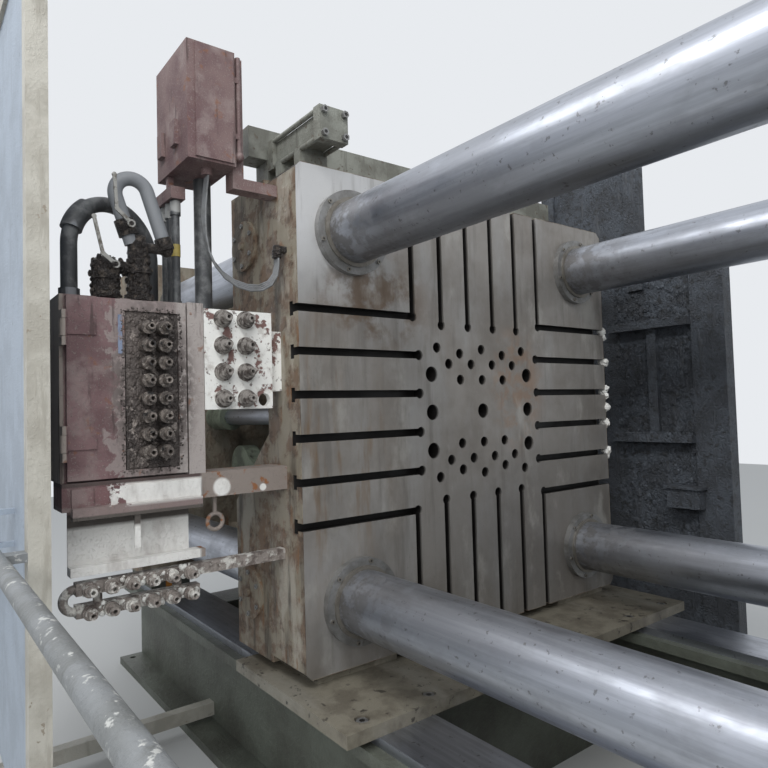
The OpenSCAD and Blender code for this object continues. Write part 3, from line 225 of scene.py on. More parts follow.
def mapped(tree, mask, at_0, at_1):
    """A value that a mask leads from one end to the other."""
    return add(tree, "ShaderNodeMapRange", {"Value": mask, "To Min": at_0, "To Max": at_1}).outputs[0]


def over(tree, mask, under, top):
    """The top colour over the one under it, where the mask says."""
    return add(tree, "ShaderNodeMix", {0: mask, 6: under, 7: top}, data_type="RGBA").outputs[2]


def coats(tree, base, *layers):
    """Coats on a base colour. A layer is a colour and the masks and shares that say where it lies."""
    colour = linear(base)
    for top, *masks in layers:
        colour = over(tree, times(tree, *masks), colour, linear(top))
    return colour


def new_finish(name):
    """An empty material and its tree."""
    material = bpy.data.materials.new(name)
    material.use_nodes = True
    material.node_tree.nodes.clear()
    return material, material.node_tree


def surface(tree, colour, metallic, roughness, height, depth):
    """The shader that ends a finish: height is a mask that stands depth metres proud where it is 1."""
    bump = add(tree, "ShaderNodeBump", {"Height": height, "Distance": depth})
    shader = add(tree, "ShaderNodeBsdfPrincipled", {"Base Color": colour, "Metallic": metallic,
                                                    "Roughness": roughness, "Normal": bump.outputs[0]})
    add(tree, "ShaderNodeOutputMaterial", {"Surface": shader.outputs[0]})


def layered(name, base, layers, metallic, rough, bump, depth):
    """A plain finish. A layer is a colour, what patches takes and a share, and bump is what patches takes."""
    material, tree = new_finish(name)
    colour = coats(tree, base, *((top, patches(tree, *sizes), *share) for top, sizes, *share in layers))
    surface(tree, colour, metallic, rough, patches(tree, *bump), depth)
    return material


print("helpers ready")

# %% [markdown]
# The plates' die faces are milled cast steel, stained by years of heat, water and release agent. The bare
# steel keeps a weak shine, so it is half metallic with a rough finish. Smears run down it, because what is
# sprayed on the mould drips, so those clouds are stretched along Z. The slots and holes behind the face are
# painted near black a few millimetres in, as painted shade, and the plate's edges and back still carry
# flaking machine paint.

# %% Milled cast steel of the die faces
MOVING_LOW, MOVING_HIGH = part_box("moving_platen")
FIXED_LOW, FIXED_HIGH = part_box("fixed_platen")
FACE_X = MOVING_HIGH.x
PLATE_HALF = MOVING_HIGH.y
CENTRE_Z = (MOVING_LOW.z + MOVING_HIGH.z) / 2
SLOT_SHADE_FROM = 0.002
SLOT_SHADE_DEPTH = 0.012
EDGE_BAND = 0.003
BACK_BAND = (0.030, 0.004)
STAIN_REACH = 0.8


def flaking_paint(tree, worn=1.0):
    """Olive machine paint that has come off over rust, under pale dried crust and dark drips. Worn is how
    much of that shows, from 0 for sound paint to 1."""
    rust = patches(tree, 0.09, 0.44, 0.58)
    colour = coats(
        tree, "#877f70",
        ("#6c5645", rust, 0.85 * worn),
        ("#4f4034", rust, patches(tree, 0.03, 0.5, 0.6, 3), 0.8 * worn),
        ("#aba69b", patches(tree, 0.14, 0.53, 0.62, 7, down=0.35), 0.6 * worn),
        ("#7d5a3c", patches(tree, 0.05, 0.6, 0.68, 9, down=0.3), 0.7),
        ("#3d3730", patches(tree, 0.07, 0.5, 0.68, 5, down=0.12), 0.8 * worn))
    return colour, rust


def milled_face(name, face_x, inward, back_x):
    """Stained milled steel. Inward is -1 where the plate lies towards -X from its face, and 1 otherwise.
    Its back, at back_x, and its edges carry the paint of the casting. Its slots and holes are painted near
    black behind the face, as painted shade."""
    material, tree = new_finish(name)
    left = -PLATE_HALF

    def stain(y, z, reach_y, reach_z):
        """A stain on the face, with its height over the plate's middle."""
        return around(tree, (face_x, y, CENTRE_Z + z), (STAIN_REACH, reach_y, reach_z))

    # Painted shade: the slots and holes turn near black from 2 to 12 mm behind the face.
    slot_shade = beyond(tree, "X", face_x + inward * SLOT_SHADE_FROM, face_x + inward * SLOT_SHADE_DEPTH)
    specks = patches(tree, 0.008, 0.66, 0.72, 12)
    colour = coats(
        tree, "#938f8a",
        ("#86817b", patches(tree, 0.40, 0.42, 0.62, 1)),
        ("#a09f9d", patches(tree, 0.22, 0.45, 0.7, 2, down=0.3), 0.8),
        ("#d3d4d5", stain(left + 0.12, 0.78, 0.42, 0.5), 0.75),
        ("#67635e", stain(0.45, -0.55, 0.75, 0.6), 0.55),
        ("#66615b", patches(tree, 0.055, 0.52, 0.70, 4, down=0.10), 0.42),
        ("#6a5847", stain(left + 0.33, 0.42, 0.34, 0.24), patches(tree, 0.12, 0.40, 0.58, 6), 0.85),
        ("#806a52", stain(left + 0.12, -0.12, 0.32, 0.62),
         patches(tree, 0.08, 0.50, 0.64, 8, down=0.16), 0.7),
        ("#96704f", stain(0.22, 0.10, 0.22, 0.34), patches(tree, 0.09, 0.42, 0.6, 9), 0.45),
        ("#b6b4ae", patches(tree, 0.18, 0.54, 0.7, 11, down=0.5), 0.5),
        ("#3f3b37", specks, 0.7),
        ("#1b1918", slot_shade))
    edge = most(tree, beyond(tree, "X", *(back_x - inward * band for band in BACK_BAND)),
                *(beyond(tree, axis, *(middle + side * (PLATE_HALF - band)
                                       for band in (EDGE_BAND, EDGE_BAND / 2)))
                  for axis, middle in (("Y", 0), ("Z", CENTRE_Z)) for side in (1, -1)))
    paint, rust = flaking_paint(tree)
    bare = add(tree, "ShaderNodeMath", {0: 1.0, 1: most(tree, edge, slot_shade)},
               operation="SUBTRACT", use_clamp=True).outputs[0]
    rough = mapped(tree, patches(tree, 0.1, 0.35, 0.65, 13), 0.42, 0.62)
    surface(tree, over(tree, edge, colour, paint), times(tree, bare, 0.55), rough,
            most(tree, times(tree, rust, edge), times(tree, specks, 0.3)), 0.0015)
    return material


milled_moving = milled_face("milled cast steel, moving", FACE_X, -1, MOVING_LOW.x)
milled_fixed = milled_face("milled cast steel, fixed", FIXED_LOW.x, 1, FIXED_HIGH.x)
print("die faces at", round(FACE_X, 3), "and", round(FIXED_LOW.x, 3))

# %% [markdown]
# Behind the faces the castings are painted. Chips take the paint off down to rust, and white water marks
# dry on it, so the same flaking paint serves the ribs, the lugs and the plate at the back. The links
# between them are forged, and an oily film keeps their grey-green enamel darker and a little shiny.

# %% Machine paint over cast iron and forged steel
SPRAY_X = (FACE_X - 0.9, FACE_X - 0.6)


def casting_paint():
    """Flaking olive enamel on rough cast iron: dull and lumpy, rusty at the chips on the moving plate's
    side, which the agent reaches, and sounder on the castings behind it."""
    material, tree = new_finish("flaking enamel on cast iron")
    reached = mapped(tree, beyond(tree, "X", *SPRAY_X), 0.15, 1.0)
    bold, _ = flaking_paint(tree)
    sound, rust = flaking_paint(tree, 0.4)
    surface(tree, over(tree, reached, sound, bold), 0.0, 0.72, rust, 0.002)
    return material


cast_paint = casting_paint()
link_paint = layered("oily enamel on forged steel", "#6f7768",
                     [("#4c5147", (0.12, 0.42, 0.62)), ("#2f2b26", (0.05, 0.55, 0.7, 4, 0.3), 0.8)],
                     0.0, 0.45, (0.02, 0.4, 0.6), 0.0006)
print("castings and links painted")

# %% [markdown]
# The tie bars are ground and polished steel, pulled through the plate each cycle. That leaves a long smooth
# shine along them with faint marks round them, and dull brown grime near the plates where no seal wipes.
# Metal keeps the default IOR, since its reflection is set by the base colour.

# %% Ground steel of the bars
GRIME_AHEAD = (FACE_X + 0.42, FACE_X + 0.05)
GRIME_BEHIND = (FACE_X - 0.9, FACE_X - 0.5)
COLLAR_FRONT = FACE_X + 0.026


def ground_bar():
    """Ground steel: bright blue-grey, with fine streaks along X and grime by the moving plate."""
    material, tree = new_finish("ground steel")
    streaks = patches(tree, 0.02, 0.35, 0.65, 2, along=0.04)
    dull = patches(tree, 0.16, 0.42, 0.62, 5, along=0.5)
    stain = times(tree, beyond(tree, "X", *GRIME_AHEAD), beyond(tree, "X", *GRIME_BEHIND),
                  patches(tree, 0.06, 0.42, 0.56, 8))
    colour = coats(tree, "#b9bdc6", ("#9599a2", streaks, 0.6), ("#7d7f84", dull, 0.5),
                   ("#5e5a55", stain, 0.8), ("#62605e", patches(tree, 0.02, 0.62, 0.68, 9), 0.6))
    soil = most(tree, times(tree, stain, 0.8), times(tree, dull, 0.35))
    surface(tree, colour, mapped(tree, soil, 1.0, 0.55), mapped(tree, soil, 0.35, 0.6),
            times(tree, streaks, 0.3), 0.0003)
    return material


def turned_steel():
    """Turned steel of nuts and collars: dull grey with greasy patches, and brown in the corner between a
    collar's front and its bar."""
    material, tree = new_finish("turned steel")
    corner = times(tree, beyond(tree, "X", COLLAR_FRONT + 0.001, COLLAR_FRONT + 0.0025),
                   beyond(tree, "X", COLLAR_FRONT + 0.034, COLLAR_FRONT + 0.032))
    colour = coats(tree, "#8f8f8e", ("#6b6965", patches(tree, 0.05, 0.40, 0.66), 0.6),
                   ("#45423f", patches(tree, 0.03, 0.58, 0.72, 4), 0.4), ("#7d7361", corner, 0.45))
    surface(tree, colour, 0.75, 0.5, patches(tree, 0.01, 0.4, 0.6), 0.0004)
    return material


bar_steel = ground_bar()
turned = turned_steel()
print("bars and collars finished")

# %% [markdown]
# The remaining paints are all shop enamel, and what tells them apart is their colour and what lies on
# them. One function takes those colours: the enamel, what shows through its chips, and the soil on it.
# The masks' sizes are real: chips about 30 mm wide, soil in clouds of 150 mm, drips a few centimetres wide.

# %% Shop enamels
CHIP_M = 0.030
SOIL_M = 0.150
DRIP_M = 0.040


def enamel(name, paint, chipped, soil, soiled=0.5, chips=(0.60, 0.66), rough=0.5, lumps=0.0006):
    """Brushed or sprayed enamel: chips to what is under it, clouds of soil and dark drips over it."""
    material, tree = new_finish(name)
    drips = patches(tree, DRIP_M, 0.54, 0.68, 3, down=0.14)
    colour = coats(tree, paint, (soil, patches(tree, SOIL_M, 0.40, 0.62), soiled), (soil, drips, soiled),
                   (chipped, patches(tree, CHIP_M, *chips, 6)))
    surface(tree, colour, 0.0, rough, most(tree, drips, patches(tree, 0.01, 0.4, 0.7, 9)), lumps)
    return material


post_paint = enamel("beige enamel on tube", "#bab7ad", "#8f8678", "#989388", 0.6, (0.66, 0.70))
panel_paint = enamel("light blue enamel on sheet", "#9da8b5", "#7d8590", "#848d98", 0.45, (0.67, 0.70))
guard_paint = enamel("blue-grey enamel under grime", "#565c64", "#3b3d40", "#42454a", 0.85, (0.50, 0.66),
                     0.62, 0.006)
top_paint = enamel("grey enamel on steel", "#85877f", "#5d564c", "#5b5a52", 0.75, (0.60, 0.66))
rail_paint = enamel("grey enamel on a bent tube", "#7b7e80", "#b3b4b1", "#5f615f", 0.6, (0.60, 0.66), 0.45)
print("enamels:", post_paint.name, panel_paint.name, guard_paint.name)

# %% [markdown]
# The base is painted as well, with an orange line on its top that marks the edge of the ways. A line on
# one piece is a mask between two places, so it needs no picture.

# %% Base with its orange line
LINE_Y = (-0.747, -0.717)
LINE_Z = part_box("base_beams")[1].z - 0.002
LINE_BLUR = 0.004


def base_enamel():
    """Grimy grey-green enamel with dark oily patches, and a worn orange line along the top."""
    material, tree = new_finish("grimy enamel on welded steel")
    line = times(tree, beyond(tree, "Y", LINE_Y[0] - LINE_BLUR, LINE_Y[0]),
                 beyond(tree, "Y", LINE_Y[1] + LINE_BLUR, LINE_Y[1]),
                 beyond(tree, "Z", LINE_Z - LINE_BLUR, LINE_Z), patches(tree, 0.04, 0.34, 0.46, 5))
    colour = coats(tree, "#666b61", ("#3d3c34", patches(tree, 0.3, 0.30, 0.72), 0.75),
                   ("#c9822a", line, 0.85))
    surface(tree, colour, 0.0, 0.5, patches(tree, 0.03, 0.4, 0.65, 2), 0.0012)
    return material


def oily_plate():
    """Planed steel plate: khaki with oil and dust, half metallic where it is rubbed bright."""
    material, tree = new_finish("oily planed steel")
    rubbed = patches(tree, 0.25, 0.5, 0.68, 3, along=0.4)
    colour = coats(tree, "#7c776a", ("#5f594e", patches(tree, 0.11, 0.42, 0.62), 0.8), ("#9b978c", rubbed),
                   ("#2c2824", patches(tree, 0.04, 0.60, 0.66, 8), 0.8))
    surface(tree, colour, times(tree, rubbed, 0.5), 0.48, patches(tree, 0.02, 0.4, 0.6), 0.0005)
    return material


base_paint = base_enamel()
plate_steel = oily_plate()
print("base and carrier plate finished")

# %% [markdown]
# The boxes at the operator's side are maroon-brown sheet steel. Metal spray has frozen on them in fine
# grey specks, densest round the couplings, and the sheet to the right of the door is paler. The drip
# shield below them was sprayed with white release agent, which dried into a crust with a ragged edge.

# %% Maroon enamel of the cabinet
BANK_LOW, BANK_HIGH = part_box("coupling_bank")
BANK_MIDDLE = (BANK_LOW + BANK_HIGH) / 2
SHIELD_TOP = CENTRE_Z - 0.182
SHIELD_RIM = CENTRE_Z - 0.236
HOOD_FOOT = CENTRE_Z - 0.250
SPLASH_TOP = CENTRE_Z - 0.300
SHADE_TOP = CENTRE_Z - 0.262
SOFT_Z = 0.004
ARM_FROM = (-1.20, -1.19)
HOOD_END = (-1.190, -1.196)
SIDE_STEP = (-1.50, -1.40)
SHIELD_STEP = (-1.49, -1.38)
HINGE_STRIP = (-1.588, -1.592)
ARM_BLOBS = ((-1.125, -0.221, 0.034), (-0.978, -0.235, 0.014))


def ragged_step(tree, start, end, size):
    """0 on one side of a ragged line across Y and 1 on the other, torn by clouds of this size."""
    torn = add(tree, "ShaderNodeMath", {0: beyond(tree, "Y", start, end),
                                        1: times(tree, patches(tree, size, 0.38, 0.62), 0.6)},
               operation="ADD").outputs[0]
    return add(tree, "ShaderNodeMapRange", {"Value": torn, "From Min": 0.66, "From Max": 0.74}).outputs[0]


def pale_side(tree):
    """The coats of the cabinet's sheet beside its door: paler beyond a ragged line and at both edges."""
    return [("#928784", ragged_step(tree, *SIDE_STEP, 0.05), 0.85),
            ("#a1978f", beyond(tree, "Y", *HINGE_STRIP)),
            ("#a8a09c", beyond(tree, "Y", BANK_HIGH.y + 0.012, BANK_HIGH.y + 0.03))]


def whitened_shield(tree):
    """The coats of the arm and the shield: painted shade in the gap along its top, a rubbed rim,
    painted shade below the hood, and dried white agent with smudges.
    """
    arm = beyond(tree, "Y", *ARM_FROM)
    hood = times(tree, beyond(tree, "Z", SHIELD_TOP + SOFT_Z, SHIELD_TOP - SOFT_Z),
                 beyond(tree, "Y", *HOOD_END), beyond(tree, "Z", HOOD_FOOT, SHIELD_RIM),
                 ragged_step(tree, *SHIELD_STEP, 0.06))
    splash = times(tree, beyond(tree, "Z", SPLASH_TOP, SPLASH_TOP - 0.012),
                   beyond(tree, "Y", *reversed(ARM_FROM)))
    blobs = [around(tree, (FACE_X - 0.1, y, CENTRE_Z + z), (0.3, size, size), 0.7)
             for y, z, size in ARM_BLOBS]
    white = most(tree, hood, splash, *blobs)
    # Painted shade: a dark strip along the shield's top, where it meets the cabinet.
    return [("#463d3a", beyond(tree, "Z", SHIELD_TOP - SOFT_Z / 2, SHIELD_TOP + SOFT_Z / 2), 0.8),
            ("#8a7f7b", beyond(tree, "Z", SHIELD_RIM, SHIELD_RIM - SOFT_Z), 0.65),
            # Painted shade: everything below SHADE_TOP turns dark, under the hood's foot.
            ("#4a4641", beyond(tree, "Z", SHADE_TOP, SHADE_TOP - SOFT_Z), 0.9),
            ("#8b817a", arm),
            ("#8a5c3c", arm, patches(tree, 0.05, 0.56, 0.64, 15)),
            ("#e6e5e1", white, 0.97),
            ("#a39c97", white, patches(tree, 0.07, 0.46, 0.74, 12, down=0.4), 0.6)]


def maroon_enamel(name, paint, side=None, shield=None):
    """Maroon enamel with frozen metal spray, rust and drips. Side and shield are functions that give more
    coats, laid under the spray and over the drips."""
    material, tree = new_finish(name)
    spray = patches(tree, 0.006, 0.54, 0.66, 4)
    crust = times(tree, around(tree, tuple(BANK_MIDDLE), (0.4, 0.165, 0.36), 0.6),
                  patches(tree, 0.020, 0.36, 0.54, 6))
    colour = coats(
        tree, paint,
        ("#5d4446", patches(tree, 0.16, 0.42, 0.62), 0.8),
        ("#8d7f7c", patches(tree, 0.10, 0.5, 0.66, 2), 0.6),
        *(side(tree) if side else ()),
        ("#9a908c", spray, 0.5),
        ("#5c5451", crust),
        ("#7c5138", patches(tree, 0.05, 0.60, 0.68, 7), 0.7),
        ("#3b2d2c", patches(tree, 0.03, 0.58, 0.68, 9, down=0.12), 0.7),
        *(shield(tree) if shield else ()))
    surface(tree, colour, 0.0, 0.62, most(tree, spray, crust), 0.0008)
    return material


cabinet_paint = maroon_enamel("maroon enamel with metal spray", "#7a6061", side=pale_side)
box_paint = maroon_enamel("maroon enamel of the upper box", "#75605e")
shield_paint = maroon_enamel("maroon enamel under white agent", "#745657", shield=whitened_shield)
print("cabinet face is", round(BANK_HIGH.y - BANK_LOW.y, 3), "m wide at its couplings")

# %% [markdown]
# The couplings and valves are the dirtiest metal of all: zinc-plated steel and brass under a tarry film of
# oil and dust. The plate beside the cabinet is nearly white with dried agent, and shows its maroon paint in
# patches. The bars and couplings under the shield carry white lime where the agent ran down, and a valve's
# flat lever is grimy where no hand rubs it.

# %% Couplings, valves, hoses and white plate
COUPLINGS_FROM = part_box("coupling_plate")[1].x - 0.059
BLEACHED_FROM = FACE_X - 0.175
RISER_ENDS = (FACE_X - 0.320, -1.205, CENTRE_Z + 0.735)


def dirty_zinc():
    """Plated steel under oily grime: nearly black, with a few rubbed spots that still shine."""
    material, tree = new_finish("zinc-plated steel under grime")
    rubbed = times(tree, patches(tree, 0.012, 0.56, 0.68), 0.7)
    colour = coats(tree, "#57504b", ("#857c75", patches(tree, 0.02, 0.46, 0.62, 3)), ("#b3ada4", rubbed),
                   ("#1d1a19", patches(tree, 0.03, 0.55, 0.64, 5)))
    surface(tree, colour, rubbed, 0.42, patches(tree, 0.008, 0.35, 0.65, 7), 0.0014)
    return material


def white_crust():
    """Dried white release agent on maroon enamel: chalky, thick and flaked off in patches. What stands
    in front of the plate's face is a coupling, grey under its own grime."""
    material, tree = new_finish("dried release agent on enamel")
    gone = patches(tree, 0.055, 0.56, 0.60, 2)
    plate = coats(tree, "#e9e9e5", ("#c3bfb9", patches(tree, 0.05, 0.50, 0.68)), ("#7b5f5a", gone),
                  ("#5a4b45", patches(tree, 0.02, 0.60, 0.66, 5), 0.8))
    metal = coats(tree, "#8f8a85", ("#4b4440", patches(tree, 0.02, 0.45, 0.6, 9)))
    colour = over(tree, beyond(tree, "X", COUPLINGS_FROM, COUPLINGS_FROM + 0.001), plate, metal)
    crust = add(tree, "ShaderNodeMath", {0: 1.0, 1: gone}, operation="SUBTRACT").outputs[0]
    surface(tree, colour, 0.0, 0.75, crust, 0.0015)
    return material


def rubber(name, plain, dusty, rough=0.5, fittings=False):
    """Extruded rubber or soft plastic: smooth, with dust on it. With fittings, the small hose in front is
    sun-bleached and the ends of the three risers are plated."""
    material, tree = new_finish(name)
    layers = [(dusty, patches(tree, 0.06, 0.45, 0.65), 0.7)]
    if fittings:
        layers += [("#83868a", beyond(tree, "X", BLEACHED_FROM, BLEACHED_FROM + 0.002), 0.9),
                   ("#9b9c9a", around(tree, RISER_ENDS, (0.09, 0.03, 0.036), 0.9))]
    surface(tree, coats(tree, plain, *layers), 0.0, rough, patches(tree, 0.004, 0.4, 0.6), 0.0002)
    return material


coupling_zinc = dirty_zinc()
white_plate = white_crust()
limed = layered("limed zinc-plated steel", "#948c86",
                [("#675d58", (0.03, 0.46, 0.64)), ("#dbd9d3", (0.04, 0.50, 0.60, 4), 0.85)],
                0.1, 0.6, (0.012, 0.4, 0.65, 7), 0.002)
valve_tar = layered("tarry cast brass", "#292422", [("#5b534c", (0.02, 0.52, 0.66))],
                    0.0, 0.33, (0.009, 0.3, 0.7, 2), 0.005)
lever_zinc = layered("zinc-plated steel", "#94938f", [("#615c55", (0.02, 0.48, 0.64))],
                     0.7, 0.42, (0.006, 0.4, 0.6), 0.0002)
hose_rubber = rubber("hose rubber", "#434547", "#77797a", fittings=True)
cable_sheath = rubber("grey cable sheath", "#6f7173", "#504f4c", 0.45)
print("small parts finished")

# %% [markdown]
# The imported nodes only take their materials. The table below gives each finish with the nodes that have it.
# The tie bars and the valves' levers are told by how their names begin, and whatever is left, the links
# and what moves with them, is painted as they are.

# %% Give the nodes their finishes
finishes = {
    milled_moving: "moving_platen", milled_fixed: "fixed_platen", turned: "bar_nuts bar_collars",
    cast_paint: "platen_ribs front_lugs rear_lugs link_platen", bar_steel: "slide_ways guide_rods",
    base_paint: "base_beams base_cross_members platen_feet", plate_steel: "carrier_plate",
    cabinet_paint: "cabinet cabinet_door", box_paint: "junction_box", shield_paint: "support_arm",
    coupling_zinc: "coupling_bank", limed: "water_bars", white_plate: "coupling_plate",
    valve_tar: "valve_stack", hose_rubber: "hoses", cable_sheath: "sensor_cables",
    top_paint: "top_beam top_cylinder", rail_paint: "hand_rail", post_paint: "guard_posts",
    panel_paint: "guard_panel", guard_paint: "rear_guard",
}
finish_of = {name: finish for finish, names in finishes.items() for name in names.split()}
for name, node in nodes.items():
    by_start = (bar_steel if name.startswith("tie_bar") else
                lever_zinc if name.startswith("valve_lever") else link_paint)
    node.data.materials.clear()
    node.data.materials.append(finish_of.get(name, by_start))
print(len(nodes), "nodes have a finish,", len(finish_of), "of them by name")

# %% [markdown]
# The cables ride on the moving unit and stand for the plain solid ones. Their plug is a short moulded body
# with a clip that reaches the plate, made here as one revolved shape and a small tab.

# %% Cables and their plug
PLUG_R = 0.017
PLUG_LEN = 0.046
PLUG_PROFILE = ((0.6, 0.0), (1.0, 0.06), (1.0, 0.2), (0.9, 0.24), (1.0, 0.28), (1.0, 0.42), (0.9, 0.46),
                (1.0, 0.5), (1.0, 0.62), (0.82, 0.66), (0.82, 0.9), (0.7, 1.0))
TAB = (1.7, 0.4)
TAB_AT = 0.74
ROUND_SIDES = 24


def settled(name, mesh, body):
    """A piece with this mesh that rides on a body."""
    piece = linked(name, mesh)
    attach(piece, body)
    return piece


def finish_piece(name, mesh_maker, body, material):
    """A piece from a bmesh that a function fills."""
    shape = bmesh.new()
    mesh_maker(shape)
    bmesh.ops.recalc_face_normals(shape, faces=shape.faces)
    mesh = bpy.data.meshes.new(name)
    shape.to_mesh(mesh)
    shape.free()
    mesh.materials.append(material)
    return settled(name, mesh, body)


def ring(shape, centre, radius, height):
    """Corners on a level circle, a height above its centre."""
    turns = [2 * math.pi * k / ROUND_SIDES for k in range(ROUND_SIDES)]
    return [shape.verts.new(centre + Vector((radius * math.cos(turn), radius * math.sin(turn), height)))
            for turn in turns]


def skin(shape, rows, closed=True):
    """Faces between rows of corners. A closed row runs round to its start."""
    for low, high in zip(rows, rows[1:]):
        count = len(low)
        for k in range(count if closed else count - 1):
            shape.faces.new((low[k], low[(k + 1) % count], high[(k + 1) % count], high[k]))


def capped(shape, rows):
    """Closed rows of corners with a face at either end."""
    skin(shape, rows)
    shape.faces.new(rows[0][::-1])
    shape.faces.new(rows[-1])


def add_plug(shape):
    """The plug on the plate's side: a ribbed round grip, a collar and the tab that holds it."""
    end = Vector(CABLE_ROUTE[-1])
    capped(shape, [ring(shape, end, PLUG_R * width, PLUG_LEN * height) for width, height in PLUG_PROFILE])
    side = -PLATE_HALF - end.y
    tab = bmesh.ops.create_cube(shape, size=1)["verts"]
    bmesh.ops.scale(shape, vec=(PLUG_R * TAB[0], side, PLUG_LEN * TAB[1]), verts=tab)
    bmesh.ops.translate(shape, vec=end + Vector((0, side / 2, PLUG_LEN * TAB_AT)), verts=tab)


plug = finish_piece("sensor_plug", add_plug, "moving_unit", valve_tar)
for which, (cable, start, length) in enumerate(cables):
    cable.data.materials.append(cable_sheath)
    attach(cable, "moving_unit")
    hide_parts("sensor_cables")
print("plug and", len(cables), "cables ride on the moving unit")

# %% [markdown]
# Screws are what repeats most. Geometry Nodes set one head on every point of a plain mesh that holds only
# places: the head's sizes are inputs of the tree, each head gets a random turn from a fixed seed, as a
# fitter leaves them, and a near-black hexagon is the painted shade of the socket of its key. The tree ends
# in real geometry with its material set, and the evaluated result is kept as an ordinary mesh.

# %% A tree of screw heads
KEY_SIDES = 6
KEY_WIDTH = 0.52
KEY_HEIGHT = 1.04
FULL_TURN = 6.283
SEATED = 0.001


def fresh_tree(name, inputs):
    """A Geometry Nodes tree with a geometry input and named inputs: (name, socket type, value)."""
    tree = bpy.data.node_groups.new(name, "GeometryNodeTree")
    tree.interface.new_socket("Geometry", in_out="INPUT", socket_type="NodeSocketGeometry")
    for label, kind, value in inputs:
        socket = tree.interface.new_socket(label, in_out="INPUT", socket_type=kind)
        if value is not None:
            socket.default_value = value
    tree.interface.new_socket("Geometry", in_out="OUTPUT", socket_type="NodeSocketGeometry")
    return tree, tree.nodes.new("NodeGroupInput"), tree.nodes.new("NodeGroupOutput")


def screw_tree():
    """Heads on points: a round head of the given radius and height, a dark hexagon as the painted shade
    of a key socket, and a random turn each.
    """
    tree, given, result = fresh_tree("screw heads", [
        ("Head radius", "NodeSocketFloat", 0.01), ("Head height", "NodeSocketFloat", 0.01),
        ("Sides", "NodeSocketInt", 24), ("Facing", "NodeSocketVector", (1, 0, 0)),
        ("Seed", "NodeSocketInt", 3), ("Material", "NodeSocketMaterial", None),
        ("Socket material", "NodeSocketMaterial", None)])
    ins = given.outputs
    both = add(tree, "GeometryNodeJoinGeometry")
    half, thin = (add(tree, "ShaderNodeMath", {0: ins[size], 1: share}, operation="MULTIPLY").outputs[0]
                  for size, share in (("Head radius", KEY_WIDTH), ("Head height", KEY_HEIGHT)))
    for sides, radius, height, finish in (
            (ins["Sides"], ins["Head radius"], ins["Head height"], ins["Material"]),
            (KEY_SIDES, half, thin, ins["Socket material"])):
        drum = add(tree, "GeometryNodeMeshCylinder", {"Vertices": sides, "Radius": radius, "Depth": height})
        painted = add(tree, "GeometryNodeSetMaterial", {"Geometry": drum.outputs["Mesh"], "Material": finish})
        tree.links.new(painted.outputs[0], both.inputs["Geometry"])
    spun = add(tree, "FunctionNodeRandomValue", {"Seed": ins["Seed"], 3: FULL_TURN}, data_type="FLOAT")
    turn = add(tree, "ShaderNodeCombineXYZ", {2: spun.outputs[1]})
    aim = add(tree, "FunctionNodeAlignRotationToVector", {"Vector": ins["Facing"]}, axis="Z")
    placed = add(tree, "GeometryNodeInstanceOnPoints", {"Points": ins["Geometry"],
                                                        "Instance": both.outputs[0],
                                                        "Rotation": aim.outputs[0]})
    rolled = add(tree, "GeometryNodeRotateInstances", {"Instances": placed.outputs[0],
                                                       "Rotation": turn.outputs[0]})
    real = add(tree, "GeometryNodeRealizeInstances", {"Geometry": rolled.outputs[0]})
    tree.links.new(real.outputs[0], result.inputs[0])
    return tree


def baked(name, points, faces, tree, values, body):
    """Runs a tree on a mesh of points or faces, keeps the result as a plain mesh and lets it ride."""
    seed_mesh = bpy.data.meshes.new(name + "_places")
    seed_mesh.from_pydata([tuple(p) for p in points], [], [tuple(f) for f in faces])
    maker = linked(name + "_maker", seed_mesh)
    modifier = maker.modifiers.new("made", "NODES")
    modifier.node_group = tree
    for item in tree.interface.items_tree:
        if item.in_out == "INPUT" and item.name in values:
            modifier[item.identifier] = values[item.name]
    bpy.context.view_layer.update()
    evaluated = maker.evaluated_get(bpy.context.evaluated_depsgraph_get())
    mesh = bpy.data.meshes.new_from_object(evaluated)
    mesh.name = name
    bpy.data.objects.remove(maker)
    if not mesh.materials:
        mesh.materials.append(values["Material"])
    return settled(name, mesh, body)


screw_heads = screw_tree()
# Painted shade: the key sockets are near-black hexagons, not holes.
socket_painted_shade = rubber("painted shade of a key socket", "#141211", "#2a2725", 0.35)


def screws(name, places, facing, radius, height, body, material, sides=24):
    """Screws with their heads seated at these places, facing one way."""
    facing = Vector(facing).normalized()
    seats = [Vector(p) + facing * (height / 2 - SEATED) for p in places]
    return baked(name, seats, (), screw_heads,
                 {"Head radius": radius, "Head height": height, "Sides": sides, "Facing": tuple(facing),
                  "Material": material, "Socket material": socket_painted_shade}, body)


print("screw tree has", len(screw_heads.nodes), "nodes")

# %% [markdown]
# Two sets of screws show best: six on a circle in each bar's collar, and six on each of the two round covers
# at the operator's side of the plate.

# %% Screws on the collars and the side covers
BAR_PITCH = 1.315
COLLAR_RING = 0.141
COVER_AT = (-2.395, -PLATE_HALF - 0.014)
COVER_RISE = 0.667
COVER_RING = 0.078
collar_turns = [0.3 + math.pi / 3 * k for k in range(6)]
cover_turns = [0.5 + 1.05 * k for k in range(6)]
collar_places = [(COLLAR_FRONT, side * BAR_PITCH / 2 + COLLAR_RING * math.cos(turn),
                  CENTRE_Z + level * BAR_PITCH / 2 + COLLAR_RING * math.sin(turn))
                 for side in (-1, 1) for level in (-1, 1) for turn in collar_turns]
screws("collar_screws", collar_places, (1, 0, 0), 0.008, 0.007, "moving_unit", turned)
cover_places = [(COVER_AT[0] + COVER_RING * math.cos(turn), COVER_AT[1],
                 CENTRE_Z + level * COVER_RISE + COVER_RING * math.sin(turn))
                for level in (-1, 1) for turn in cover_turns]
screws("cover_screws", cover_places, (0, -1, 0), 0.009, 0.008, "moving_unit", turned)
print(len(collar_places) + len(cover_places), "screws")

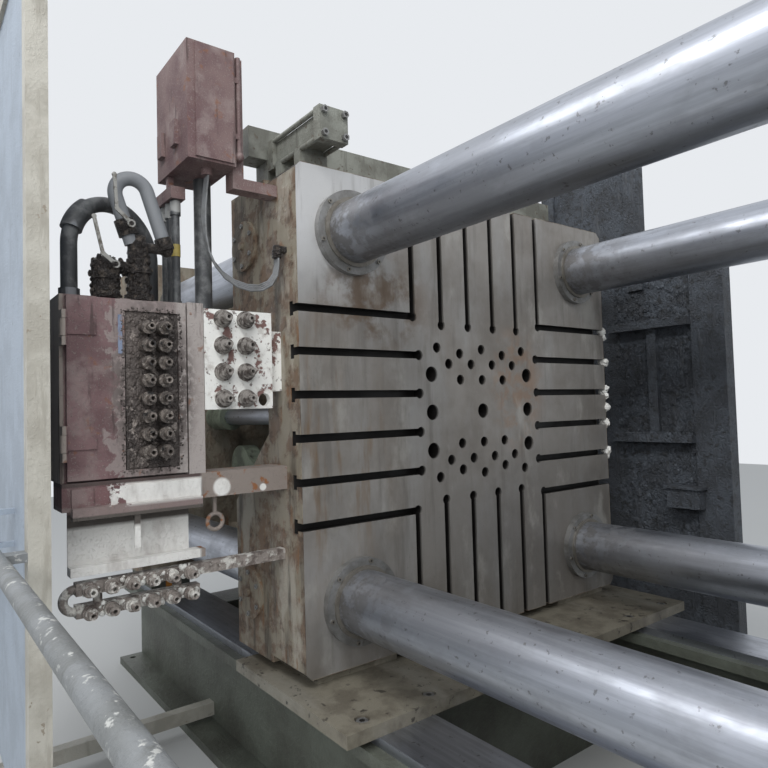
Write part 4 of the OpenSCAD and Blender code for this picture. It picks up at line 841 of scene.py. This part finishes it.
# %% [markdown]
# Grime that has built up for years stands proud of the metal, so it is made as lumps and not only as
# colour. The tree strews small rough stones over a face, sized at random between two limits and stretched
# along one way, and buries half of each. The same tree makes the black crust round the couplings, the lumps
# on the far guard and the white crumbs of release agent, so only its inputs change.

# %% A tree of crusted lumps
DENTS_PER_M = 160.0
DENT_DETAIL = 2.0


def lump_tree():
    """Lumps strewn on faces: count per square metre, smallest and largest size, stretch and seed."""
    tree, given, result = fresh_tree("crusted lumps", [
        ("Per square metre", "NodeSocketFloat", 2000.0), ("Smallest", "NodeSocketFloat", 0.003),
        ("Largest", "NodeSocketFloat", 0.01), ("Stretch", "NodeSocketVector", (1, 1, 1)),
        ("Seed", "NodeSocketInt", 5), ("Material", "NodeSocketMaterial", None)])
    ins = given.outputs
    strewn = add(tree, "GeometryNodeDistributePointsOnFaces", {"Mesh": ins["Geometry"],
                                                              "Density": ins["Per square metre"],
                                                              "Seed": ins["Seed"]})
    stone = add(tree, "GeometryNodeMeshIcoSphere", {"Radius": 1.0, "Subdivisions": 2})
    size = add(tree, "FunctionNodeRandomValue", {"Seed": ins["Seed"]}, data_type="FLOAT")
    tree.links.new(ins["Smallest"], size.inputs[2])
    tree.links.new(ins["Largest"], size.inputs[3])
    long_way = add(tree, "ShaderNodeVectorMath", {0: ins["Stretch"]}, operation="SCALE")
    tree.links.new(size.outputs[1], long_way.inputs["Scale"])
    placed = add(tree, "GeometryNodeInstanceOnPoints", {"Points": strewn.outputs["Points"],
                                                        "Instance": stone.outputs["Mesh"],
                                                        "Scale": long_way.outputs[0]})
    real = add(tree, "GeometryNodeRealizeInstances", {"Geometry": placed.outputs[0]})
    rough = add(tree, "ShaderNodeTexNoise", {"Scale": DENTS_PER_M, "Detail": DENT_DETAIL})
    shift = add(tree, "ShaderNodeVectorMath", {0: rough.outputs["Color"], 1: (0.5, 0.5, 0.5)},
                operation="SUBTRACT")
    small = add(tree, "ShaderNodeVectorMath", {0: shift.outputs[0]}, operation="SCALE")
    tree.links.new(ins["Largest"], small.inputs["Scale"])
    dented = add(tree, "GeometryNodeSetPosition", {"Geometry": real.outputs[0], "Offset": small.outputs[0]})
    painted = add(tree, "GeometryNodeSetMaterial", {"Geometry": dented.outputs[0],
                                                    "Material": ins["Material"]})
    tree.links.new(painted.outputs[0], result.inputs[0])
    return tree


lumps = lump_tree()


def strewn(name, places, faces, count_per_m2, sizes, body, slot_name, material, stretch=(1, 1, 1), seed=5):
    """Lumps over faces: so many per square metre, of sizes between two limits."""
    return baked(name, places, faces, lumps,
                 {"Per square metre": count_per_m2, "Smallest": sizes[0], "Largest": sizes[1],
                  "Stretch": stretch, "Seed": seed, "Material": material}, body)


def crust(name, corners, *rest, **more):
    """Lumps over four-sided patches; corners is a list of patches with four places each."""
    faces = [tuple(range(4 * k, 4 * k + 4)) for k in range(len(corners))]
    return strewn(name, [place for patch in corners for place in patch], faces, *rest, **more)


def crust_on(name, node_name, keep, *rest, **more):
    """Lumps over those of a node's own faces whose middle the keep function takes."""
    mesh = nodes[node_name].data
    places, faces = [], []
    for face in mesh.polygons:
        if keep(face.center):
            faces.append(tuple(range(len(places), len(places) + len(face.vertices))))
            places += [mesh.vertices[v].co for v in face.vertices]
    return strewn(name, places, faces, *rest, **more)


def upright(x, y_from, y_to, z_from, z_to):
    """A patch that faces along X."""
    return [(x, y_from, z_from), (x, y_to, z_from), (x, y_to, z_to), (x, y_from, z_to)]


def sideways(y, x_from, x_to, z_from, z_to):
    """A patch that faces along Y."""
    return [(x_from, y, z_from), (x_to, y, z_from), (x_to, y, z_to), (x_from, y, z_to)]


def flat(z, x_from, x_to, y_from, y_to):
    """A patch that faces up."""
    return [(x_from, y_from, z), (x_to, y_from, z), (x_to, y_to, z), (x_from, y_to, z)]


print("lump tree has", len(lumps.nodes), "nodes")

# %% [markdown]
# The couplings of the cabinet stand in a bed of soot and frozen metal spray that has filled the door's
# cut-out to the brim. The bed is one sheet of small squares, pushed out by a noise of fixed shape, closed at
# its sides and back. Lumps lie on it and a thinner spatter of them runs over the door's edge, which hides
# the line of the cut-out as on the real machine.

# %% The bed round the couplings
SIDE_X = FACE_X - 0.100
CUT_Y = (BANK_LOW.y - 0.034, BANK_HIGH.y + 0.027)
CUT_Z = (BANK_LOW.z - 0.024, BANK_HIGH.z + 0.024)
BED_BACK = SIDE_X - 0.0278
BED_DEPTH = 0.021
HINGE_SIDE_GAP = 0.004
BED_GAP = 0.0015
BED_ROWS = 110
BED_COLUMNS = 40
SWELL = (34, 0.0045)
CRUMBS = (130, 0.0028)


def bed_front(y, z):
    """How far out the bed's surface lies: broad swells with small crumbs on them."""
    swell = noise.noise(Vector((0, y, z)) * SWELL[0])
    crumbs = noise.noise(Vector((3, y, z)) * CRUMBS[0])
    return BED_BACK + BED_DEPTH + SWELL[1] * swell + CRUMBS[1] * crumbs


def add_bed(shape):
    """The bed: a lumpy front, a flat back, and walls between their edges."""
    y_low, y_high = CUT_Y[0] + HINGE_SIDE_GAP, CUT_Y[1] - BED_GAP
    z_low, z_high = CUT_Z[0] + BED_GAP, CUT_Z[1] - BED_GAP
    front, back = [], []
    for k in range(BED_ROWS + 1):
        z = z_low + (z_high - z_low) * k / BED_ROWS
        ys = [y_low + (y_high - y_low) * n / BED_COLUMNS for n in range(BED_COLUMNS + 1)]
        front.append([shape.verts.new((bed_front(y, z), y, z)) for y in ys])
        back.append([shape.verts.new((BED_BACK, y, z)) for y in ys])
    skin(shape, front, closed=False)
    skin(shape, back, closed=False)
    for end in (0, -1):
        skin(shape, [front[end], back[end]], closed=False)
        skin(shape, [[row[end] for row in front], [row[end] for row in back]], closed=False)


soot = enamel("soot and frozen spray", "#605854", "#978e88", "#332d2b", 0.75, (0.57, 0.64), 0.6, 0.0015)
finish_piece("bank_bed", add_bed, "moving_unit", soot)
print("bed of", BED_ROWS * BED_COLUMNS, "squares")

# %% [markdown]
# Lumps of the same spray lie on the bed, on the couplings' noses and round the cut-out on the door, where
# they are smaller and closer together. The valves above the cabinet are clogged with lumps of tar.

# %% Lumps on the bed, the door's edge and the valves
SPATTER = 0.012
COUPLING_NOSE = SIDE_X - 0.026
TAR_TOP = CENTRE_Z + 0.52
crust("bank_crust", [upright(BED_BACK + BED_DEPTH, CUT_Y[0] + 0.012, CUT_Y[1] - 0.008,
                             CUT_Z[0] + 0.008, CUT_Z[1] - 0.008)],
      9000, (0.0020, 0.0060), "moving_unit", "coupling_steel", soot, stretch=(1, 1, 1.2), seed=4)
crust_on("coupling_lumps", "coupling_bank", lambda place: place.x > COUPLING_NOSE,
         3000, (0.001, 0.003), "moving_unit", "coupling_steel", soot, seed=8)
crust("door_spatter", [upright(SIDE_X, CUT_Y[0] - SPATTER, CUT_Y[0], CUT_Z[0] - SPATTER, CUT_Z[1] + 0.01),
                       upright(SIDE_X, CUT_Y[1], CUT_Y[1] + SPATTER, *CUT_Z),
                       upright(SIDE_X, *CUT_Y, CUT_Z[1], CUT_Z[1] + SPATTER),
                       upright(SIDE_X, *CUT_Y, CUT_Z[0] - SPATTER, CUT_Z[0])],
      17000, (0.0008, 0.0038), "cabinet_door", "cabinet_paint", soot, seed=11)
crust_on("valve_tar", "valve_stack", lambda place: place.z < TAR_TOP,
         2600, (0.003, 0.0085), "moving_unit", "valve_body", valve_tar, stretch=(1, 1, 1.3), seed=13)
print("crust laid on the coupling bank")

# %% [markdown]
# The guard behind the machine catches the spray of every shot, and grime has grown on it in lumps as big as a
# thumb. Its wall is a flat sheet between two posts, so the lumps are strewn on three patches of that sheet,
# between the ledges, below and above them, and on the ledges, where they lie thicker.

# %% Lumps on the far guard
WALL_FACE_Y = 1.220
WALL_X = (FACE_X - 0.140, FACE_X + 0.290)
WALL_Z = (CENTRE_Z - 0.75, CENTRE_Z + 0.69)
LEDGE_Z = (CENTRE_Z + 0.402, CENTRE_Z - 0.192)
LEDGE_H = 0.040
LEDGE_DEPTH = 0.055
wall_spans = ((LEDGE_Z[1] + LEDGE_H, LEDGE_Z[0]), (WALL_Z[0], LEDGE_Z[1]), (LEDGE_Z[0] + LEDGE_H, WALL_Z[1]))
wall_patches = [sideways(WALL_FACE_Y, *WALL_X, *span) for span in wall_spans]
crust("wall_grime", wall_patches, 1300, (0.005, 0.018), "machine_frame", "dark_paint", guard_paint,
      stretch=(1, 0.5, 1.3), seed=6)
ledge_patches = [flat(z + LEDGE_H, *WALL_X, WALL_FACE_Y - LEDGE_DEPTH, WALL_FACE_Y) for z in LEDGE_Z]
crust("ledge_grime", ledge_patches, 2600, (0.004, 0.014), "machine_frame", "dark_paint", guard_paint, seed=7)
print("grime on the guard's wall and ledges")

# %% [markdown]
# Where the slots end at the far edge, white agent has dried into crumbly lumps that hang over the edge.
# The same white crumbs lie between the water couplings, where the agent drips from the shield.

# %% White crumbs
CRUMB_LEVELS = (-0.225, -0.075, 0.0, 0.075, 0.225, 0.375)
CRUMB_X = (FACE_X - 0.034, FACE_X + 0.002)
WATER_LOW, WATER_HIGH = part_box("water_bars")
WATER_FRONT = WATER_HIGH.x - 0.064
WATER_Y = (WATER_LOW.y + 0.06, -1.20)
WATER_ROW_Z = (CENTRE_Z - 0.478, CENTRE_Z - 0.542)
crumb_patches = [sideways(PLATE_HALF + 0.010, *CRUMB_X, CENTRE_Z + level - 0.026, CENTRE_Z + level + 0.018)
                 for level in CRUMB_LEVELS]
row_patches = [upright(WATER_FRONT, *WATER_Y, z - 0.018, z + 0.020) for z in WATER_ROW_Z]
white_agent = enamel("dried white agent", "#e4e4e0", "#b9b5ae", "#c9c6bf", 0.4, rough=0.85)
crust("slot_crumbs", crumb_patches, 5600, (0.009, 0.021), "moving_unit", "platen_steel", white_agent,
      seed=9)
crust("water_crumbs", row_patches, 3400, (0.002, 0.009), "moving_unit", "coupling_steel", white_agent,
      seed=12)
print(len(crumb_patches) + len(row_patches), "patches of crumbs")

# %% [markdown]
# The rest of the screws are placed from the nodes they hold: four nuts on the tie rods of the core cylinder,
# and socket screws sunk in the counterbores of the carrier plate.

# %% Nuts and sunk screws
CORE_AT = (FACE_X + 0.080, -0.771, CENTRE_Z + PLATE_HALF + 0.121)
CORE_NUTS = (0.042, 0.040)
SINK_AT = (FACE_X + 0.272, CENTRE_Z - PLATE_HALF - 0.045)
SINK_Y = (0.583, 0.851)
core_nuts = [(CORE_AT[0], CORE_AT[1] + side * CORE_NUTS[0], CORE_AT[2] + level * CORE_NUTS[1])
             for side in (-1, 1) for level in (-1, 1)]
screws("core_cylinder_nuts", core_nuts, (1, 0, 0), 0.013, 0.016, "moving_unit", turned, sides=6)
sunk = [(SINK_AT[0], side * y, SINK_AT[1]) for side in (-1, 1) for y in SINK_Y]
screws("carrier_screws", sunk, (0, 0, 1), 0.019, 0.012, "moving_unit", turned)
print(len(core_nuts) + len(sunk), "nuts and sunk screws")

# %% [markdown]
# Small things give a machine its age and its scale: a faded strip of blue tape on the cabinet door, and a
# yellowed sleeve on one of the riser pipes that tells the fitter which line it is.

# %% Tape and sleeve
TAPE_Y = (CUT_Y[0] - 0.019, CUT_Y[0] - 0.007)
TAPE_Z = (CENTRE_Z + 0.206, CENTRE_Z + 0.323)
TAPE_T = 0.0012
TAPE_STEPS = 8
TAPE_WAVE = (0.0006, 2.3)
PEEL = 0.004
PEEL_FROM = 0.8
PEEL_STEEP = 5
PEEL_FAR_SIDE = 0.3
SLEEVE_AT = Vector((FACE_X - 0.270, -1.205, CENTRE_Z + 0.562))
SLEEVE_R = (0.0142, 0.0156)
SLEEVE_LEN = 0.042


def add_tape(shape):
    """A strip of tape with its upper corner peeled and its edges a little uneven."""
    rows = []
    for k in range(TAPE_STEPS + 1):
        z = TAPE_Z[0] + (TAPE_Z[1] - TAPE_Z[0]) * k / TAPE_STEPS
        wave = TAPE_WAVE[0] * math.sin(TAPE_WAVE[1] * k)
        lift = PEEL * max(0.0, k / TAPE_STEPS - PEEL_FROM) * PEEL_STEEP
        rows.append([shape.verts.new((SIDE_X + out, TAPE_Y[side] + wave, z)) for out, side in
                     ((0, 0), (TAPE_T + lift, 0), (TAPE_T + lift * PEEL_FAR_SIDE, 1), (0, 1))])
    capped(shape, rows)


def add_sleeve(shape):
    """A short open tube round the riser, closed by rings at both ends."""
    inner, outer = SLEEVE_R
    rings = [ring(shape, SLEEVE_AT, radius, height) for radius, height in
             ((inner, 0), (outer, 0), (outer, SLEEVE_LEN), (inner, SLEEVE_LEN))]
    skin(shape, rings + rings[:1])


tape_paint = enamel("faded blue tape", "#7f8ba3", "#857c7e", "#625f6b", 0.7, (0.54, 0.62))
finish_piece("door_tape", add_tape, "cabinet_door", tape_paint)
sleeve_paint = enamel("yellowed plastic sleeve", "#b3a052", "#6c6a5c", "#4b4a40", 0.5)
finish_piece("riser_sleeve", add_sleeve, "moving_unit", sleeve_paint)
print("tape on the door, sleeve on the riser")

# %% [markdown]
# The stage is not part of the machine: a plain pale floor that keeps its shadow, and soft light from a
# pale sky. Metal mirrors what is round it, so the sky is brighter above than below, and two large lamps make
# the long highlights on the bars. The background is pale to the camera and to reflections alike.

# %% Floor, sky and lamps
FLOOR_HALF = 14.0
FLOOR_ROUGH = 0.9
GROUND = "#c9cac9"
SKY = "#d9dde2"
SKY_SEEN = "#e8ebef"
SKY_STRENGTH = 0.62
SKY_FROM = (-0.35, 0.30)
SKY_TO = (0.75, 1.55)
HALL_LAMP = ((-0.6, -2.6, 5.0), (-1.6, -0.2, 1.6), (6.5, 0.5), 170)
AISLE_LAMP = ((1.6, -4.2, 3.2), (-2.0, -0.6, 1.5), (3.0, 2.2), 90)


def add_floor():
    """A wide pale floor under the feet."""
    mesh = bpy.data.meshes.new("floor")
    corners = [(x * FLOOR_HALF, y * FLOOR_HALF, 0) for x, y in ((-1, -1), (1, -1), (1, 1), (-1, 1))]
    mesh.from_pydata(corners, [], [(0, 1, 2, 3)])
    material, tree = new_finish("pale plain floor")
    shader = add(tree, "ShaderNodeBsdfPrincipled", {"Base Color": linear(GROUND), "Roughness": FLOOR_ROUGH})
    add(tree, "ShaderNodeOutputMaterial", {"Surface": shader.outputs[0]})
    mesh.materials.append(material)
    floor = linked("floor", mesh)


def light_sky():
    """A plain sky that lights the machine softly and shows pale behind it and in its metal."""
    world = bpy.data.worlds.new("sky")
    scene.world = world
    world.use_nodes = True
    tree = world.node_tree
    tree.nodes.clear()
    rays = add(tree, "ShaderNodeLightPath").outputs
    shown = combine(tree, "ADD", rays["Is Camera Ray"], rays["Is Glossy Ray"], rays["Is Transmission Ray"])
    where = add(tree, "ShaderNodeTexCoord").outputs["Generated"]
    height = add(tree, "ShaderNodeSeparateXYZ", {0: where}).outputs["Z"]
    bright = add(tree, "ShaderNodeMapRange", {"Value": height, "From Min": SKY_FROM[0], "From Max": SKY_TO[0],
                                              "To Min": SKY_FROM[1] * SKY_STRENGTH,
                                              "To Max": SKY_TO[1] * SKY_STRENGTH}).outputs[0]
    lit = add(tree, "ShaderNodeBackground", {"Color": linear(SKY), "Strength": bright})
    seen = add(tree, "ShaderNodeBackground", {"Color": linear(SKY_SEEN), "Strength": 1.0})
    mixed = add(tree, "ShaderNodeMixShader", {0: shown, 1: lit.outputs[0], 2: seen.outputs[0]})
    add(tree, "ShaderNodeOutputWorld", {"Surface": mixed.outputs[0]})


def add_lamp(name, place, target, size, watts):
    """A large lamp at a place that looks at a target, with its width and height in metres."""
    data = bpy.data.lights.new(name, "AREA")
    data.shape = "RECTANGLE"
    data.size, data.size_y = size
    data.energy = watts
    lamp = linked(name, data)
    lamp.location = place
    lamp.rotation_euler = (Vector(target) - Vector(place)).to_track_quat("-Z", "Y").to_euler()


add_floor()
light_sky()
add_lamp("hall lamp", *HALL_LAMP)
add_lamp("aisle lamp", *AISLE_LAMP)
scene.view_settings.view_transform = "Standard"
print("stage ready")
